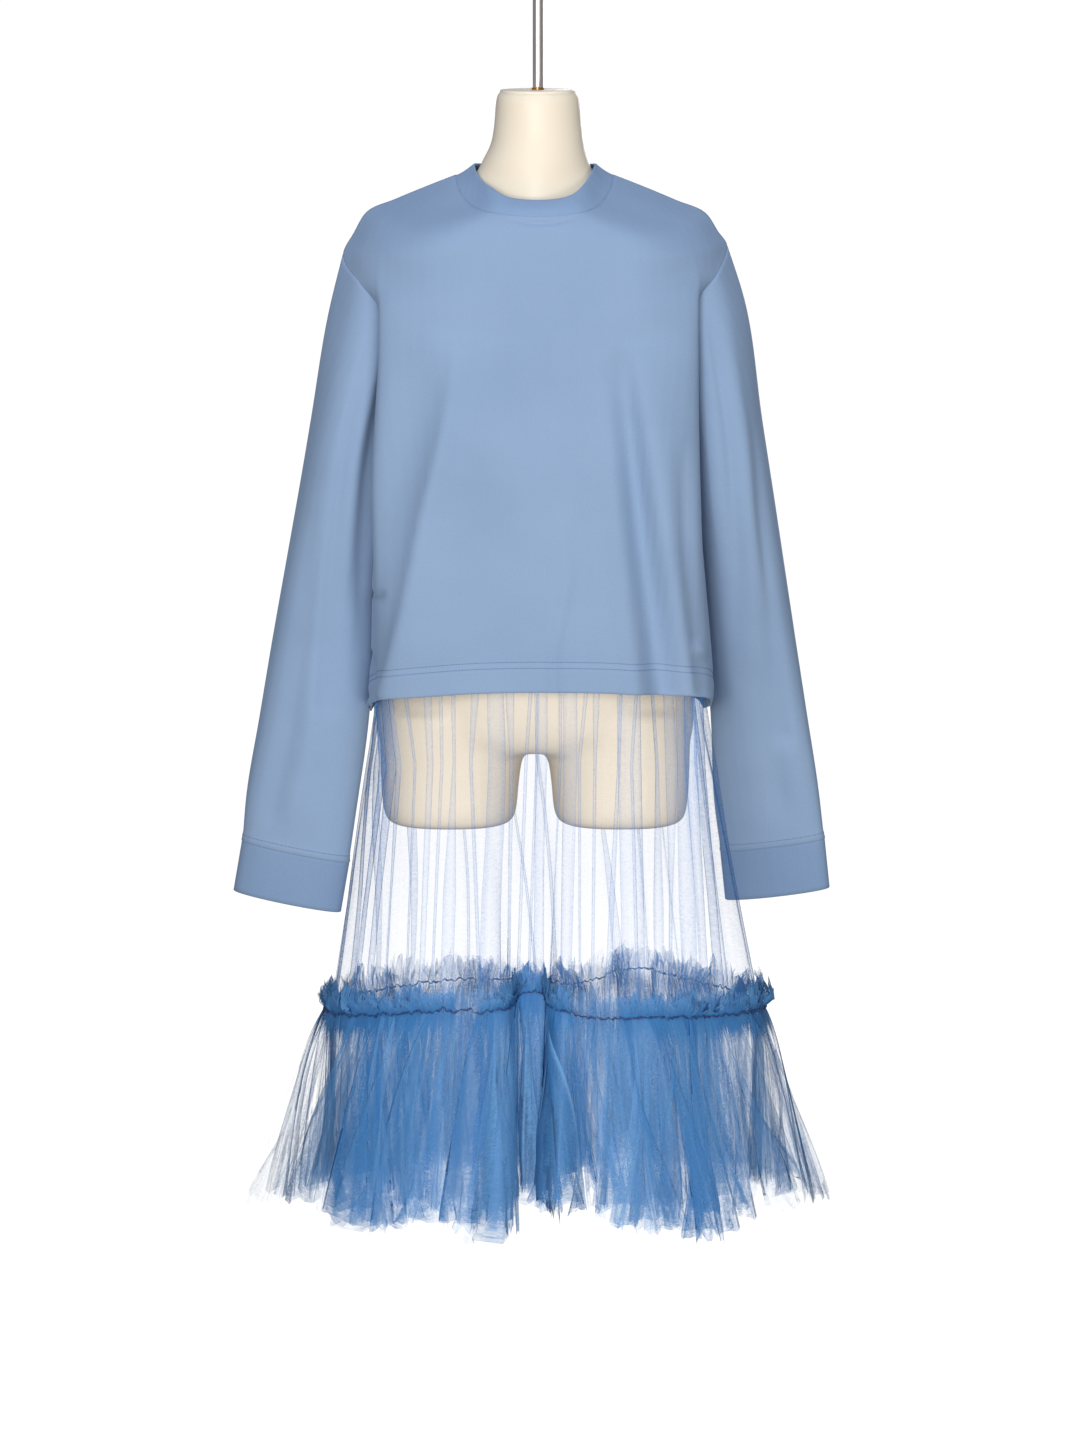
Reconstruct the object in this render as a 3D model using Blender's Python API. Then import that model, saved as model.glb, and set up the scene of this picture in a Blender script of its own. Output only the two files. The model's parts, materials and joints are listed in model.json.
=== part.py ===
"""Long-sleeved jersey sweatshirt dress with a gathered tulle skirt and ruffle, on a hanging torso form.

The dress hangs on an ivory torso form that a rod holds from above. The origin is the top of the rod. The front
of the dress faces -Y, Z is up, and the wearer's right side is at -X. Tables are in millimetres.
"""
import math

import bpy
import numpy as np

MM = 0.001

# --- driving dimensions, mm ---
SEAM_GAP = 0.3          # between two sewn pieces
CURVED_GAP = 0.5        # the same where the seam curves: at the armholes and the neck
JERSEY = 1.5            # thickness of the jersey wall
DOUBLED = 2.0           # thickness of the doubled neckband and cuffs
TULLE = 1.0             # thickness of a tulle wall
ROD_RADIUS = 5.4
ROD_LENGTH = 130.0
FERRULE_RADIUS = 6.6
FERRULE_HEIGHT = 2.0
CAP_RADIUS = 39.0
CAP_RECESS = 3.3        # depth of the seat that the cap lies in
CAP_EDGE = 0.8
NECKBAND = 22.0         # width of the neckband
CUFF_LENGTH = 52.0
HEM_SECTION = 1         # the section of the top whose inside the skirt is sewn to
RUFFLE_SPREAD = 1.34    # how far the ruffle's foot stands out from the axis, against its seam
RUFFLE_DROP = 232.0     # from the gathering seam to the ruffle's foot
HEADING = 27.0          # from the gathering seam up to the frill's edge
HEADING_FLARE = 9.0     # how far its inner layer leans out
HEADING_SPLAY = 4.0     # and how far the outer layer stands off that

# --- the torso form: a row per level, half width, reach to the front and to the back ---
FORM_COLUMNS = ("z", "half", "front", "back", "mid", "roundness")
FORM = (
    (-130.0, 42.3, 42.0, 42.0, 0.0, 2.0),
    (-134.0, 43.2, 43.0, 43.0, 0.0, 2.0),
    (-156.0, 44.6, 44.0, 44.0, 0.0, 2.0),
    (-177.0, 47.0, 46.0, 46.0, 0.0, 2.0),
    (-190.0, 49.5, 49.0, 46.0, -1.0, 2.0),
    (-201.0, 54.5, 52.0, 47.5, -2.5, 1.9),
    (-210.0, 58.0, 54.0, 47.5, -3.0, 1.75),
    (-219.0, 65.0, 57.0, 48.5, -3.0, 1.5),
    (-229.0, 84.0, 62.5, 51.5, -3.0, 1.34),
    (-240.0, 113.0, 70.0, 55.0, -3.0, 1.3),
    (-253.0, 138.0, 76.0, 61.0, -3.0, 1.32),
    (-267.0, 154.0, 82.0, 67.0, -3.0, 1.38),
    (-282.0, 160.0, 87.0, 74.0, -2.0, 1.55),
    (-305.0, 158.0, 92.0, 80.0, 0.0, 1.75),
    (-350.0, 144.0, 98.0, 84.0, 0.0, 2.1),
    (-400.0, 134.0, 102.0, 84.0, 0.0, 2.2),
    (-470.0, 128.0, 95.0, 78.0, 0.0, 2.25),
    (-560.0, 118.0, 84.0, 70.0, -2.0, 2.25),
    (-650.0, 142.0, 90.0, 84.0, -3.0, 2.25),
    (-735.0, 163.0, 97.0, 94.0, -3.0, 2.25),
    (-790.0, 165.0, 95.0, 95.0, -3.0, 2.3),
    (-812.0, 158.0, 80.0, 80.0, -3.0, 2.3),
)
FORM_SIDES = 32
STUB_ROUNDNESS = 2.6

# --- one thigh stub, a row per level: z, inner and outer reach from the form's axis, half depth ---
STUB = (
    (-770.0, 8.0, 160.0, 88.0),
    (-812.0, 12.0, 161.0, 86.0),
    (-850.0, 17.0, 160.0, 83.0),
    (-880.0, 20.0, 157.0, 80.0),
    (-889.0, 24.0, 153.0, 77.0),
    (-891.0, 30.0, 147.0, 72.0),
)

# --- the front of the top: a row per section, hem first ---
# Columns: z_mid, y_mid, fold_x, fold_y, turn_x, turn_y, edge_x, edge_y, edge_z.
# mid: centre front. fold: the vertical fold below the shoulder. turn: where the cloth turns to the side.
# edge: the side seam, then the armhole, then the shoulder seam up to the neck.
FRONT_RIGHT = (
    (-740, -130, -158, -94, -171, -56, -174.5, 0, -775),
    (-712, -130, -160, -94, -172, -56, -174.5, 0, -747),
    (-630, -127, -171, -89, -174, -54, -169, 1, -655),
    (-540, -120, -173, -81, -166, -48, -154, 1, -560),
    (-452, -114, -168, -77, -157, -42, -148, 0, -472),
    (-395, -111, -164, -73, -158, -54, -152, -36, -405),
    (-345, -108, -163, -69, -164.5, -60.5, -163.5, -50, -351),
    (-314, -105.5, -161, -63, -172, -52, -184, -36, -326),
    (-298, -103.5, -160, -60, -181, -36, -201.5, 0, -300),
    (-289, -102, -154, -58, -173, -33, -190, 4, -277),
    (-281, -100, -141, -56, -160, -30, -177, 4, -256),
    (-273, -98, -122, -54.5, -136, -28, -148, 4, -243),
    (-264, -95.5, -99, -52, -110, -27, -119, 4, -231),
    (-255, -92, -73, -50, -82, -25, -86, 4, -218),
)
FRONT_LEFT = (
    (-740, -130, 166, -80, 172, -48, 173, 0, -772),
    (-712, -130, 166, -80, 172, -48, 173, 0, -745),
    (-630, -127, 165, -82, 168, -50, 167, 1, -653),
    (-540, -120, 165, -80, 162, -48, 154, 1, -556),
    (-452, -114, 165, -76, 156, -42, 148, 0, -468),
    (-395, -111, 165, -73, 158, -54, 152, -36, -400),
    (-345, -108, 165, -69, 165, -60.5, 163.5, -50, -343),
    (-314, -105.5, 162, -63, 172, -52, 184, -36, -318),
    (-298, -103.5, 160, -60, 178, -36, 195.5, 0, -291),
    (-289, -102, 152, -58, 170, -33, 186, 4, -276),
    (-281, -100, 140, -56, 157, -30, 173, 4, -257),
    (-273, -98, 119, -54.5, 132, -28, 143, 4, -244),
    (-264, -95.5, 93, -52, 104, -27, 112, 4, -231),
    (-255, -92, 67, -50, 75, -25, 79, 4, -218),
)
# --- the back of the top: the same sections, its edges are the front's ---
# Columns: z_mid, y_mid, fold_x, fold_y, turn_x, turn_y.
BACK = (
    (-764, 112, 146, 92, 168, 54),
    (-736, 112, 146, 92, 168, 54),
    (-645, 106, 150, 86, 166, 50),
    (-552, 100, 152, 80, 158, 46),
    (-462, 98, 150, 77, 153, 42),
    (-405, 99, 149, 75, 156, 54),
    (-352, 99, 151, 71, 161, 60),
    (-318, 97, 153, 66, 171, 52),
    (-296, 93, 153, 60, 178, 36),
    (-280, 89, 148, 57, 170, 34),
    (-267, 85, 137, 54, 158, 33),
    (-254, 80, 116, 51, 133, 31),
    (-240, 74, 91, 47.5, 105, 29),
    (-224, 66, 64, 42, 75, 28),
)
ARMHOLE = (4, 8)        # sections of the underarm and of the shoulder point
MID_X = 0.62            # a point between centre and fold: its share of the fold's x
MID_Y = 0.20            # and of the way to the fold's y
ROWS_PER_SECTION = 2
COLUMNS_PER_SPAN = 2
ARMHOLE_ROWS = tuple(section * ROWS_PER_SECTION for section in ARMHOLE)

# --- sleeves: a row per level, outer and inner edge, middle and half depth, rise and swing to the outer edge ---
SLEEVE_COLUMNS = ("z", "outer", "inner", "mid_y", "half_y", "rise", "swing")
SLEEVE_RIGHT = (
    (-300, -201, -132, 0, 44, 0, 0),
    (-356, -215, -142, 0, 53, 0, 0),
    (-470, -235, -155, 0, 60, 0, 0),
    (-540, -247, -166, -2, 60, 1, 0),
    (-620, -261, -177, -5, 54, 3, 0),
    (-700, -275, -181, -12, 47, 5, 3),
    (-785, -289, -185, -22, 39, 7, 6),
    (-870, -303, -189, -30, 30, 9, 8),
    (-917, -307, -196, -32, 25, 10, 9),
)
SLEEVE_LEFT = (
    (-292, 195, 130, 0, 44, 0, 0),
    (-341, 211, 140, 0, 53, 0, 0),
    (-470, 232, 154, 2, 60, 0, 0),
    (-540, 243, 163, 6, 60, 1, -3),
    (-620, 255, 172, 14, 54, 3, -8),
    (-700, 267, 177, 26, 46, 5, -14),
    (-785, 280, 181, 40, 38, 7, -20),
    (-870, 293, 185, 52, 29, 9, -25),
    (-922, 299, 192, 56, 24, 10, -26),
)
CUFF_SHIFT = ((-9.0, 0.0), (5.5, 3.0))   # how far each cuff's foot lies outward and back from its seam
FULL_LEVEL = 3          # the level from which the sleeve follows its own table alone
UPPER_RINGS = 4
LOWER_RINGS = 5

# --- the ruffle seam, x, y, z, from the wearer's right over the front to the left and round the back ---
RING = (
    (-216, 0, -1087),
    (-197, -56, -1085),
    (-152, -98, -1078),
    (-94, -122, -1070),
    (-40, -116, -1070),
    (-19, -76, -1059),
    (8, -74, -1059),
    (20, -114, -1068),
    (62, -134, -1076),
    (112, -124, -1077),
    (172, -86, -1082),
    (216, -42, -1084),
    (230, 4, -1086),
    (206, 66, -1082),
    (152, 108, -1074),
    (96, 128, -1066),
    (48, 124, -1081),
    (-8, 116, -1078),
    (-66, 126, -1077),
    (-124, 112, -1080),
    (-178, 76, -1084),
    (-207, 36, -1086),
)
HEM_SLACK = 1.2          # between the hem's lower edge and the skirt inside it
SKIRT_FOLDS = 16
SKIRT_FOLD_DEPTH = 5.0
RUFFLE_FOLD_DEPTH = 6.5
LAYER_SPLAY = (3.0, 4.0)   # how far the outer ruffle stands off the inner one, just below the seam and at the foot
SKIRT_LEVELS = (0.33, 0.67, 1.0)
RUFFLE_LEVELS = (0.0, 0.2, 0.55, 1.0)


# --- helpers ---

def column(table, columns, name):
    """One named column of a table."""
    return np.array(table, dtype=float)[:, columns.index(name)]


def spline(values, knots, samples, steady=True):
    """Smooth curve through rows of values, read at the samples; a steady one never overshoots its rows."""
    values = np.asarray(values, dtype=float)
    knots = np.asarray(knots, dtype=float)
    step = np.diff(knots)
    shape = (-1,) + (1,) * (values.ndim - 1)
    slope = np.diff(values, axis=0) / step.reshape(shape)
    tangent = np.empty_like(values)
    tangent[0], tangent[-1] = slope[0], slope[-1]
    before = step[:-1].reshape(shape)
    after = step[1:].reshape(shape)
    tangent[1:-1] = (slope[:-1] * after + slope[1:] * before) / (before + after)
    if steady:
        low = np.minimum(abs(slope[:-1]), abs(slope[1:])) * 2.0
        tangent[1:-1] = np.clip(tangent[1:-1], -low, low) * (slope[:-1] * slope[1:] > 0.0)
    samples = np.asarray(samples, dtype=float)
    span = np.clip(np.searchsorted(knots, samples, side="right") - 1, 0, len(step) - 1)
    u = ((samples - knots[span]) / step[span]).reshape(shape)
    h = step[span].reshape(shape)
    return ((2 * u ** 3 - 3 * u ** 2 + 1) * values[span] + (u ** 3 - 2 * u ** 2 + u) * h * tangent[span]
            + (3 * u ** 2 - 2 * u ** 3) * values[span + 1] + (u ** 3 - u ** 2) * h * tangent[span + 1])


def chord_knots(points):
    """Knots spaced by the mean distance between neighbouring rows of points."""
    step = np.linalg.norm(np.diff(points, axis=0), axis=-1)
    step = step.reshape(len(step), -1).mean(axis=1)
    return np.concatenate([[0.0], np.cumsum(step)])


def split_knots(knots, parts):
    """Each span of the knots cut into equal parts."""
    pieces = [np.linspace(a, b, parts, endpoint=False) for a, b in zip(knots[:-1], knots[1:])]
    return np.concatenate(pieces + [knots[-1:]])


def refine(net, rows, columns):
    """A control net (rows, columns, xyz) refined to parts of a span each way."""
    knots = chord_knots(net)
    net = spline(net, knots, split_knots(knots, rows))
    across = np.swapaxes(net, 0, 1)
    knots = chord_knots(across)
    across = spline(across, knots, split_knots(knots, columns))
    return np.swapaxes(across, 0, 1)


def closed_spline(points, count):
    """Points spaced evenly along the closed curve through the given points."""
    points = np.asarray(points, dtype=float)
    ring = np.concatenate([points[-3:], points, points[:3]])
    knots = chord_knots(ring)
    start, end = knots[3], knots[3 + len(points)]
    dense = spline(ring, knots, np.linspace(start, end, count * 24 + 1), steady=False)
    walked = chord_knots(dense)
    wanted = np.linspace(0.0, walked[-1], count, endpoint=False)
    return np.stack([np.interp(wanted, walked, dense[:, axis]) for axis in range(3)], axis=1)


def normals(grid, wrap):
    """Unit normals of a grid of points, pointing to the left of its rows as seen along its columns."""
    if wrap:
        ring = np.concatenate([grid[:, -1:], grid, grid[:, :1]], axis=1)
        across = ring[:, 2:] - ring[:, :-2]
    else:
        across = np.gradient(grid, axis=1)
    along = np.gradient(grid, axis=0)
    direction = np.cross(across, along)
    return direction / np.linalg.norm(direction, axis=2, keepdims=True)


def wall(name, outer, inner, wrap, material):
    """A closed wall between two grids; a wrapped grid is a tube that is open at both ends.

    Each cell is split along the outer grid's shorter diagonal, on both faces, so that a thin wall can't cross itself.
    """
    rows, columns = outer.shape[:2]
    points = np.concatenate([outer.reshape(-1, 3), inner.reshape(-1, 3)]) * MM
    inside = rows * columns
    faces = []
    last = columns if wrap else columns - 1
    for row in range(rows - 1):
        for col in range(last):
            nxt = (col + 1) % columns
            a, b = row * columns + col, row * columns + nxt
            c, d = (row + 1) * columns + nxt, (row + 1) * columns + col
            if np.linalg.norm(points[a] - points[c]) > np.linalg.norm(points[b] - points[d]):
                a, b, c, d = b, c, d, a
            for corners in ((a, b, c), (a, c, d)):
                faces.append(corners)
                faces.append(tuple(corner + inside for corner in corners[::-1]))
    for col in range(last):
        nxt = (col + 1) % columns
        top = (rows - 1) * columns
        faces.append((nxt, col, col + inside, nxt + inside))
        faces.append((top + col, top + nxt, top + nxt + inside, top + col + inside))
    if not wrap:
        for row in range(rows - 1):
            a, d = row * columns, (row + 1) * columns
            b, c = a + columns - 1, d + columns - 1
            faces.append((a, d, d + inside, a + inside))
            faces.append((c, b, b + inside, c + inside))
    return add_object(name, points, faces, material)


def add_object(name, points, faces, material):
    """A mesh object of the given points in metres; its faces are turned outward."""
    mesh = bpy.data.meshes.new(name)
    mesh.from_pydata([tuple(p) for p in points], [], faces)
    mesh.validate()
    mesh.update()
    volume = 0.0
    mesh.calc_loop_triangles()
    for tri in mesh.loop_triangles:
        a, b, c = (mesh.vertices[i].co for i in tri.vertices)
        volume += a.dot(b.cross(c))
    if volume < 0.0:
        mesh.flip_normals()
    mesh.materials.append(material)
    mesh.shade_smooth()
    obj = bpy.data.objects.new(name, mesh)
    bpy.context.collection.objects.link(obj)
    return obj


def finish(name, colour, roughness, metallic=0.0, alpha=1.0):
    """A plain material; the colour is linear."""
    material = bpy.data.materials.new(name)
    material.use_nodes = True
    shader = material.node_tree.nodes["Principled BSDF"]
    shader.inputs["Base Color"].default_value = (*colour, 1.0)
    shader.inputs["Roughness"].default_value = roughness
    shader.inputs["Metallic"].default_value = metallic
    shader.inputs["Alpha"].default_value = alpha
    return material


def turned(name, profile, material, sides=24):
    """A turned solid on the Z axis from (radius, z) pairs, top first."""
    angle = np.linspace(0.0, 2.0 * math.pi, sides, endpoint=False)
    points = [(r * math.cos(a), r * math.sin(a), z) for r, z in profile for a in angle]
    faces = [tuple(range(sides)), tuple(range(len(points) - sides, len(points)))[::-1]]
    for ring in range(len(profile) - 1):
        for i in range(sides):
            a, b = ring * sides + i, ring * sides + (i + 1) % sides
            faces.append((b, a, a + sides, b + sides))
    return add_object(name, np.array(points) * MM, faces, material)


# --- the rod and the torso form ---

def build_rod(steel, brass):
    foot = -ROD_LENGTH + SEAM_GAP
    turned("rod", ((ROD_RADIUS, 0.0), (ROD_RADIUS, foot + FERRULE_HEIGHT + SEAM_GAP)), steel)
    turned("rod_ferrule", ((FERRULE_RADIUS, foot + FERRULE_HEIGHT), (FERRULE_RADIUS, foot)), brass)


def superellipse(angle, half, front, back, mid, roundness):
    """A point of a level of the form, x and y; angle 0 is at +X and a quarter turn is the back."""
    power = 2.0 / roundness
    c, s = math.cos(angle), math.sin(angle)
    reach = back if s > 0 else front
    return (mid + half * math.copysign(abs(c) ** power, c), reach * math.copysign(abs(s) ** power, s))


def lofted(name, rings, material):
    """A closed solid through rings of equal count, top first."""
    count = len(rings[0])
    points = np.array([p for ring in rings for p in ring]) * MM
    faces = [tuple(range(count)), tuple(range(len(points) - count, len(points)))[::-1]]
    for r in range(len(rings) - 1):
        for i in range(count):
            a, b = r * count + i, r * count + (i + 1) % count
            faces.append((b, a, a + count, b + count))
    return add_object(name, points, faces, material)


def build_form(ivory):
    """The torso and two thigh stubs, joined into one smooth body, and the cap in its neck."""
    angles = [2.0 * math.pi * i / FORM_SIDES for i in range(FORM_SIDES)]
    seat = -ROD_LENGTH - CAP_RECESS
    rim = CAP_RADIUS + SEAM_GAP
    rings = [[(rim * math.cos(a), rim * math.sin(a), seat) for a in angles]]
    rings.append([(rim * math.cos(a), rim * math.sin(a), -ROD_LENGTH) for a in angles])
    for z, half, front, back, mid, roundness in FORM:
        rings.append([(*superellipse(a, half, front, back, mid, roundness), z) for a in angles])
    torso = lofted("form_torso", rings, ivory)
    for side in (-1, 1):
        rings = []
        for z, inner, outer, depth in STUB:
            half = (outer - inner) / 2.0
            mid = FORM[-1][FORM_COLUMNS.index("mid")] + side * (outer + inner) / 2.0
            rings.append([(*superellipse(a, half, depth, depth, mid, STUB_ROUNDNESS), z) for a in angles])
        stub = lofted("stub_cutter", rings, ivory)
        joint = torso.modifiers.new("join", "BOOLEAN")
        joint.operation = "UNION"
        joint.solver = "EXACT"
        joint.object = stub
        stub.hide_render = True
        stub.display_type = "WIRE"
    top = -ROD_LENGTH
    turned("form_cap", ((CAP_RADIUS - CAP_EDGE, top), (CAP_RADIUS, top - CAP_EDGE), (CAP_RADIUS, seat + SEAM_GAP)),
           ivory, FORM_SIDES)


# --- the jersey top ---

def side_net(table, back):
    """Control points of half a panel, centre first: mid, a point between, fold, turn and edge."""
    net = []
    for row, line in enumerate(table):
        z_mid, y_mid, fold_x, fold_y, turn_x, turn_y, edge_x, edge_y, edge_z = line
        if back:
            z_mid, y_mid, fold, fold_y, turn, turn_y = BACK[row]
            side = math.copysign(1.0, edge_x)
            fold_x, turn_x = side * fold, side * turn
            edge_y = -edge_y if ARMHOLE[0] < row < ARMHOLE[1] else edge_y
        centre = (0.0, y_mid)
        between = (MID_X * fold_x, y_mid + MID_Y * (fold_y - y_mid))
        line = (centre, between, (fold_x, fold_y), (turn_x, turn_y), (edge_x, edge_y))
        share = np.array((0.0, 0.10, 0.36, 0.66, 1.0))
        heights = z_mid + (edge_z - z_mid) * share
        net.append([(x, y, z) for (x, y), z in zip(line, heights)])
    return np.array(net)


def panel_net(back):
    """Control net of a whole panel, hem first, from the right edge to the left edge."""
    right = side_net(FRONT_RIGHT, back)
    left = side_net(FRONT_LEFT, back)
    return np.concatenate([right[:, ::-1], left[:, 1:]], axis=1)


def build_top(jersey, doubled):
    """Front, back, neckband, sleeves and cuffs. Returns the inside of the hem as closed rings, stitches first."""
    front = refine(panel_net(False), ROWS_PER_SECTION, COLUMNS_PER_SPAN)
    back = refine(panel_net(True), ROWS_PER_SECTION, COLUMNS_PER_SPAN)
    sewn = [row for row in range(len(front)) if not ARMHOLE_ROWS[0] < row < ARMHOLE_ROWS[1]]
    for edge in (0, -1):
        back[sewn, edge] = front[sewn, edge]
    front_normal = normals(front, False)
    back_normal = -normals(back, False)
    for row in sewn:
        share_edge_normal(front_normal[row], back_normal[row])
    front_in = front - front_normal * JERSEY
    back_in = back - back_normal * JERSEY
    for name, outer, inner, normal in (("body_front", front, front_in, front_normal),
                                       ("body_back", back, back_in, back_normal)):
        wall(name, trimmed(outer, outer, normal), trimmed(inner, outer, normal), False, jersey)
    build_neckband(front, back, front_normal, back_normal, doubled)
    for side, table in (("right", SLEEVE_RIGHT), ("left", SLEEVE_LEFT)):
        edge, inward = (0, 1) if side == "right" else (-1, -2)
        loop = armhole_loop(front[:, edge], back[:, edge])
        beside = armhole_loop(front[:, inward], back[:, inward])
        underarm, shoulder = ARMHOLE_ROWS
        beside[0] = front[shoulder + 1, edge]
        beside[shoulder - underarm] = front[underarm - 1, edge]
        normal = armhole_loop(front_normal[:, edge], back_normal[:, edge])
        build_sleeve(side, table, loop, loop - beside, normal, jersey, doubled)
    stitched = HEM_SECTION * ROWS_PER_SECTION
    rows = range(stitched, -1, -1)
    rings = np.array([np.concatenate([front_in[row, :-1], back_in[row, ::-1][:-1]]) for row in rows])
    outward = np.array([np.concatenate([front_normal[row, :-1], back_normal[row, ::-1][:-1]]) for row in rows])
    return rings, outward


def share_edge_normal(front_row, back_row):
    """At side and shoulder seams both panels end on the same direction, so that their rims lie face to face."""
    for edge in (0, -1):
        mean = front_row[edge] + back_row[edge]
        mean /= np.linalg.norm(mean)
        front_row[edge] = mean
        back_row[edge] = mean


def trimmed(grid, guide, normal):
    """The grid with its side edges drawn in by half a seam gap, square to the guide's edges."""
    grid = grid.copy()
    for edge, inward in ((0, 1), (-1, -2)):
        tangent = np.gradient(guide[:, edge], axis=0)
        way = square_to(tangent, normal[:, edge], guide[:, edge] - guide[:, inward])
        grid[:, edge] -= way * SEAM_GAP / 2.0
    return grid


def square_to(tangent, normal, outward):
    """Unit directions that lie in the cloth, square to its edge, on the outward side."""
    way = np.cross(tangent, normal)
    way /= np.linalg.norm(way, axis=1, keepdims=True)
    return way * np.sign((way * outward).sum(axis=1, keepdims=True))


def build_neckband(front, back, front_normal, back_normal, doubled):
    """The band from the neck seam up to its free edge, as rings round the neck."""
    seam = np.concatenate([front[-1, :-1], back[-1, ::-1][:-1]])
    below = np.concatenate([front[-2, :-1], back[-2, ::-1][:-1]])
    outward = np.concatenate([front_normal[-1, :-1], back_normal[-1, ::-1][:-1]])
    rise = square_to(np.roll(seam, -1, axis=0) - np.roll(seam, 1, axis=0), outward, seam - below)
    middle = seam.mean(axis=0)
    inward = middle - seam
    inward[:, 2] = 0.0
    inward /= np.linalg.norm(inward, axis=1, keepdims=True)
    up = np.array((0.0, 0.0, 1.0))
    lean = inward * 0.80 + up * 0.60
    start = seam + rise * CURVED_GAP
    rings = [start]
    for share, bend in ((0.35, 0.35), (0.7, 0.6), (1.0, 0.75)):
        way = rise * (1.0 - bend) + lean * bend
        way /= np.linalg.norm(way, axis=1, keepdims=True)
        rings.append(start + way * NECKBAND * share)
    outer = np.array(rings)
    outer_normal = normals(outer, True)
    if (outer_normal[0] * outward).sum() < 0.0:
        outer_normal = -outer_normal
    outer_normal[0] = outward
    wall("neck_rib", outer, outer - outer_normal * DOUBLED, True, doubled)


def armhole_loop(front_edge, back_edge):
    """What the two panels' edges hold, from the shoulder point down the front to the underarm and up the back."""
    first, last = ARMHOLE_ROWS
    return np.concatenate([front_edge[last:first - 1:-1], back_edge[first + 1:last]])


def sleeve_point(table, z, turn):
    """A point of the sleeve at the level z, turned from its outer edge towards the front."""
    values = spline(np.array(table, dtype=float)[::-1], column(table, SLEEVE_COLUMNS, "z")[::-1], [z])[0]
    _, outer, inner, mid_y, half_y, rise, swing = values
    half = (outer - inner) / 2.0
    c, s = math.cos(turn), math.sin(turn)
    x = (outer + inner) / 2.0 + half * c
    return np.array((x, mid_y + swing * c - half_y * s, z + rise * c))


def sleeve_grid(table, loop, shift):
    """Rings of the sleeve, the armhole's edge first, moved off that edge by the shift."""
    count = len(loop)
    table_z = column(table, SLEEVE_COLUMNS, "z")
    full = table_z[FULL_LEVEL]
    seam = table_z[-1]
    grid = np.empty((UPPER_RINGS + LOWER_RINGS + 1, count, 3))
    for k in range(count):
        turn = 2.0 * math.pi * k / count
        top = loop[k] + shift[k]
        start = sleeve_point(table, top[2], turn)
        for ring in range(UPPER_RINGS + 1):
            share = ring / UPPER_RINGS
            z = top[2] + (full - top[2]) * share
            fade = (1.0 - share) ** 2 * (1.0 + 2.0 * share)
            grid[ring, k] = sleeve_point(table, z, turn) + (top - start) * fade
        for ring in range(1, LOWER_RINGS + 1):
            z = full + (seam - full) * ring / LOWER_RINGS
            grid[UPPER_RINGS + ring, k] = sleeve_point(table, z, turn)
    return grid


def build_sleeve(side, table, loop, across, normal, jersey, doubled):
    """A sleeve from the armhole to the cuff seam, and the cuff below it.

    loop is the armhole's edge, across points from the panels over that edge, and normal is the panels' own.
    """
    grid = sleeve_grid(table, loop, np.zeros_like(loop))
    along = grid[1] - grid[0]
    along /= np.linalg.norm(along, axis=1, keepdims=True)
    shift = along + normal
    shift /= np.linalg.norm(shift, axis=1, keepdims=True)
    grid = sleeve_grid(table, loop, shift * CURVED_GAP)
    outward = tube_normals(grid)
    tangent = np.roll(loop, -1, axis=0) - np.roll(loop, 1, axis=0)
    straight = (square_to(tangent, normal, across) * along).sum(axis=1, keepdims=True)
    share = np.clip(0.5 + straight, 0.0, 1.0)
    outward[0] = normal * share + outward[0] * (1.0 - share)
    outward[0] /= np.linalg.norm(outward[0], axis=1, keepdims=True)
    wall("sleeve_" + side, grid, grid - outward * JERSEY, True, jersey)

    shift = np.array((CUFF_SHIFT[0 if side == "right" else 1] + (0.0,)))
    drop = np.array((0.0, 0.0, -1.0))
    top = grid[-1] + drop * SEAM_GAP
    cuff = np.array([top + (drop * CUFF_LENGTH + shift) * share for share in (0.0, 0.5, 1.0)])
    outward = tube_normals(cuff)
    wall("cuff_" + side, cuff, cuff - outward * DOUBLED, True, doubled)


def tube_normals(grid):
    """Outward normals of a tube of rings."""
    direction = normals(grid, True)
    centre = grid.mean(axis=1, keepdims=True)
    if (direction * (grid - centre)).sum() < 0.0:
        direction = -direction
    return direction


# --- the tulle ---

def with_midpoints(rings):
    """Each ring with a point added halfway along every side."""
    halves = 0.5 * (rings + np.roll(rings, -1, axis=1))
    return np.stack([rings, halves], axis=2).reshape(len(rings), -1, 3)


def build_tulle(hem_rings, hem_outward, tulle):
    """The skirt from inside the hem to the ruffle seam, and two layers of ruffle outside it."""
    inside = with_midpoints(hem_rings)
    outward = with_midpoints(hem_outward)
    outward /= np.linalg.norm(outward, axis=2, keepdims=True)
    slack = np.linspace(SEAM_GAP, HEM_SLACK, len(inside)).reshape(-1, 1, 1)
    inside = inside - outward * slack
    foot = inside[-1]
    count = len(foot)
    seam = closed_spline(RING, count)
    wave = np.cos(2.0 * math.pi * SKIRT_FOLDS * np.arange(count) / count)[:, None]
    flat_out = seam * np.array((1.0, 1.0, 0.0))
    flat_out /= np.linalg.norm(flat_out, axis=1, keepdims=True)
    below = []
    for level in SKIRT_LEVELS:
        depth = SKIRT_FOLD_DEPTH * math.sin(math.pi * level)
        below.append(foot + (seam - foot) * level + flat_out * wave * depth)
    skirt = np.concatenate([inside, below])
    direction = tube_normals(skirt)
    direction[0] = outward[0]
    wall("tulle_skirt", skirt, skirt - direction * TULLE, True, tulle)
    for layer, name in enumerate(("ruffle_inner", "ruffle_outer")):
        ruffle_layer(name, layer, seam, direction[-1], wave, tulle)


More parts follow.
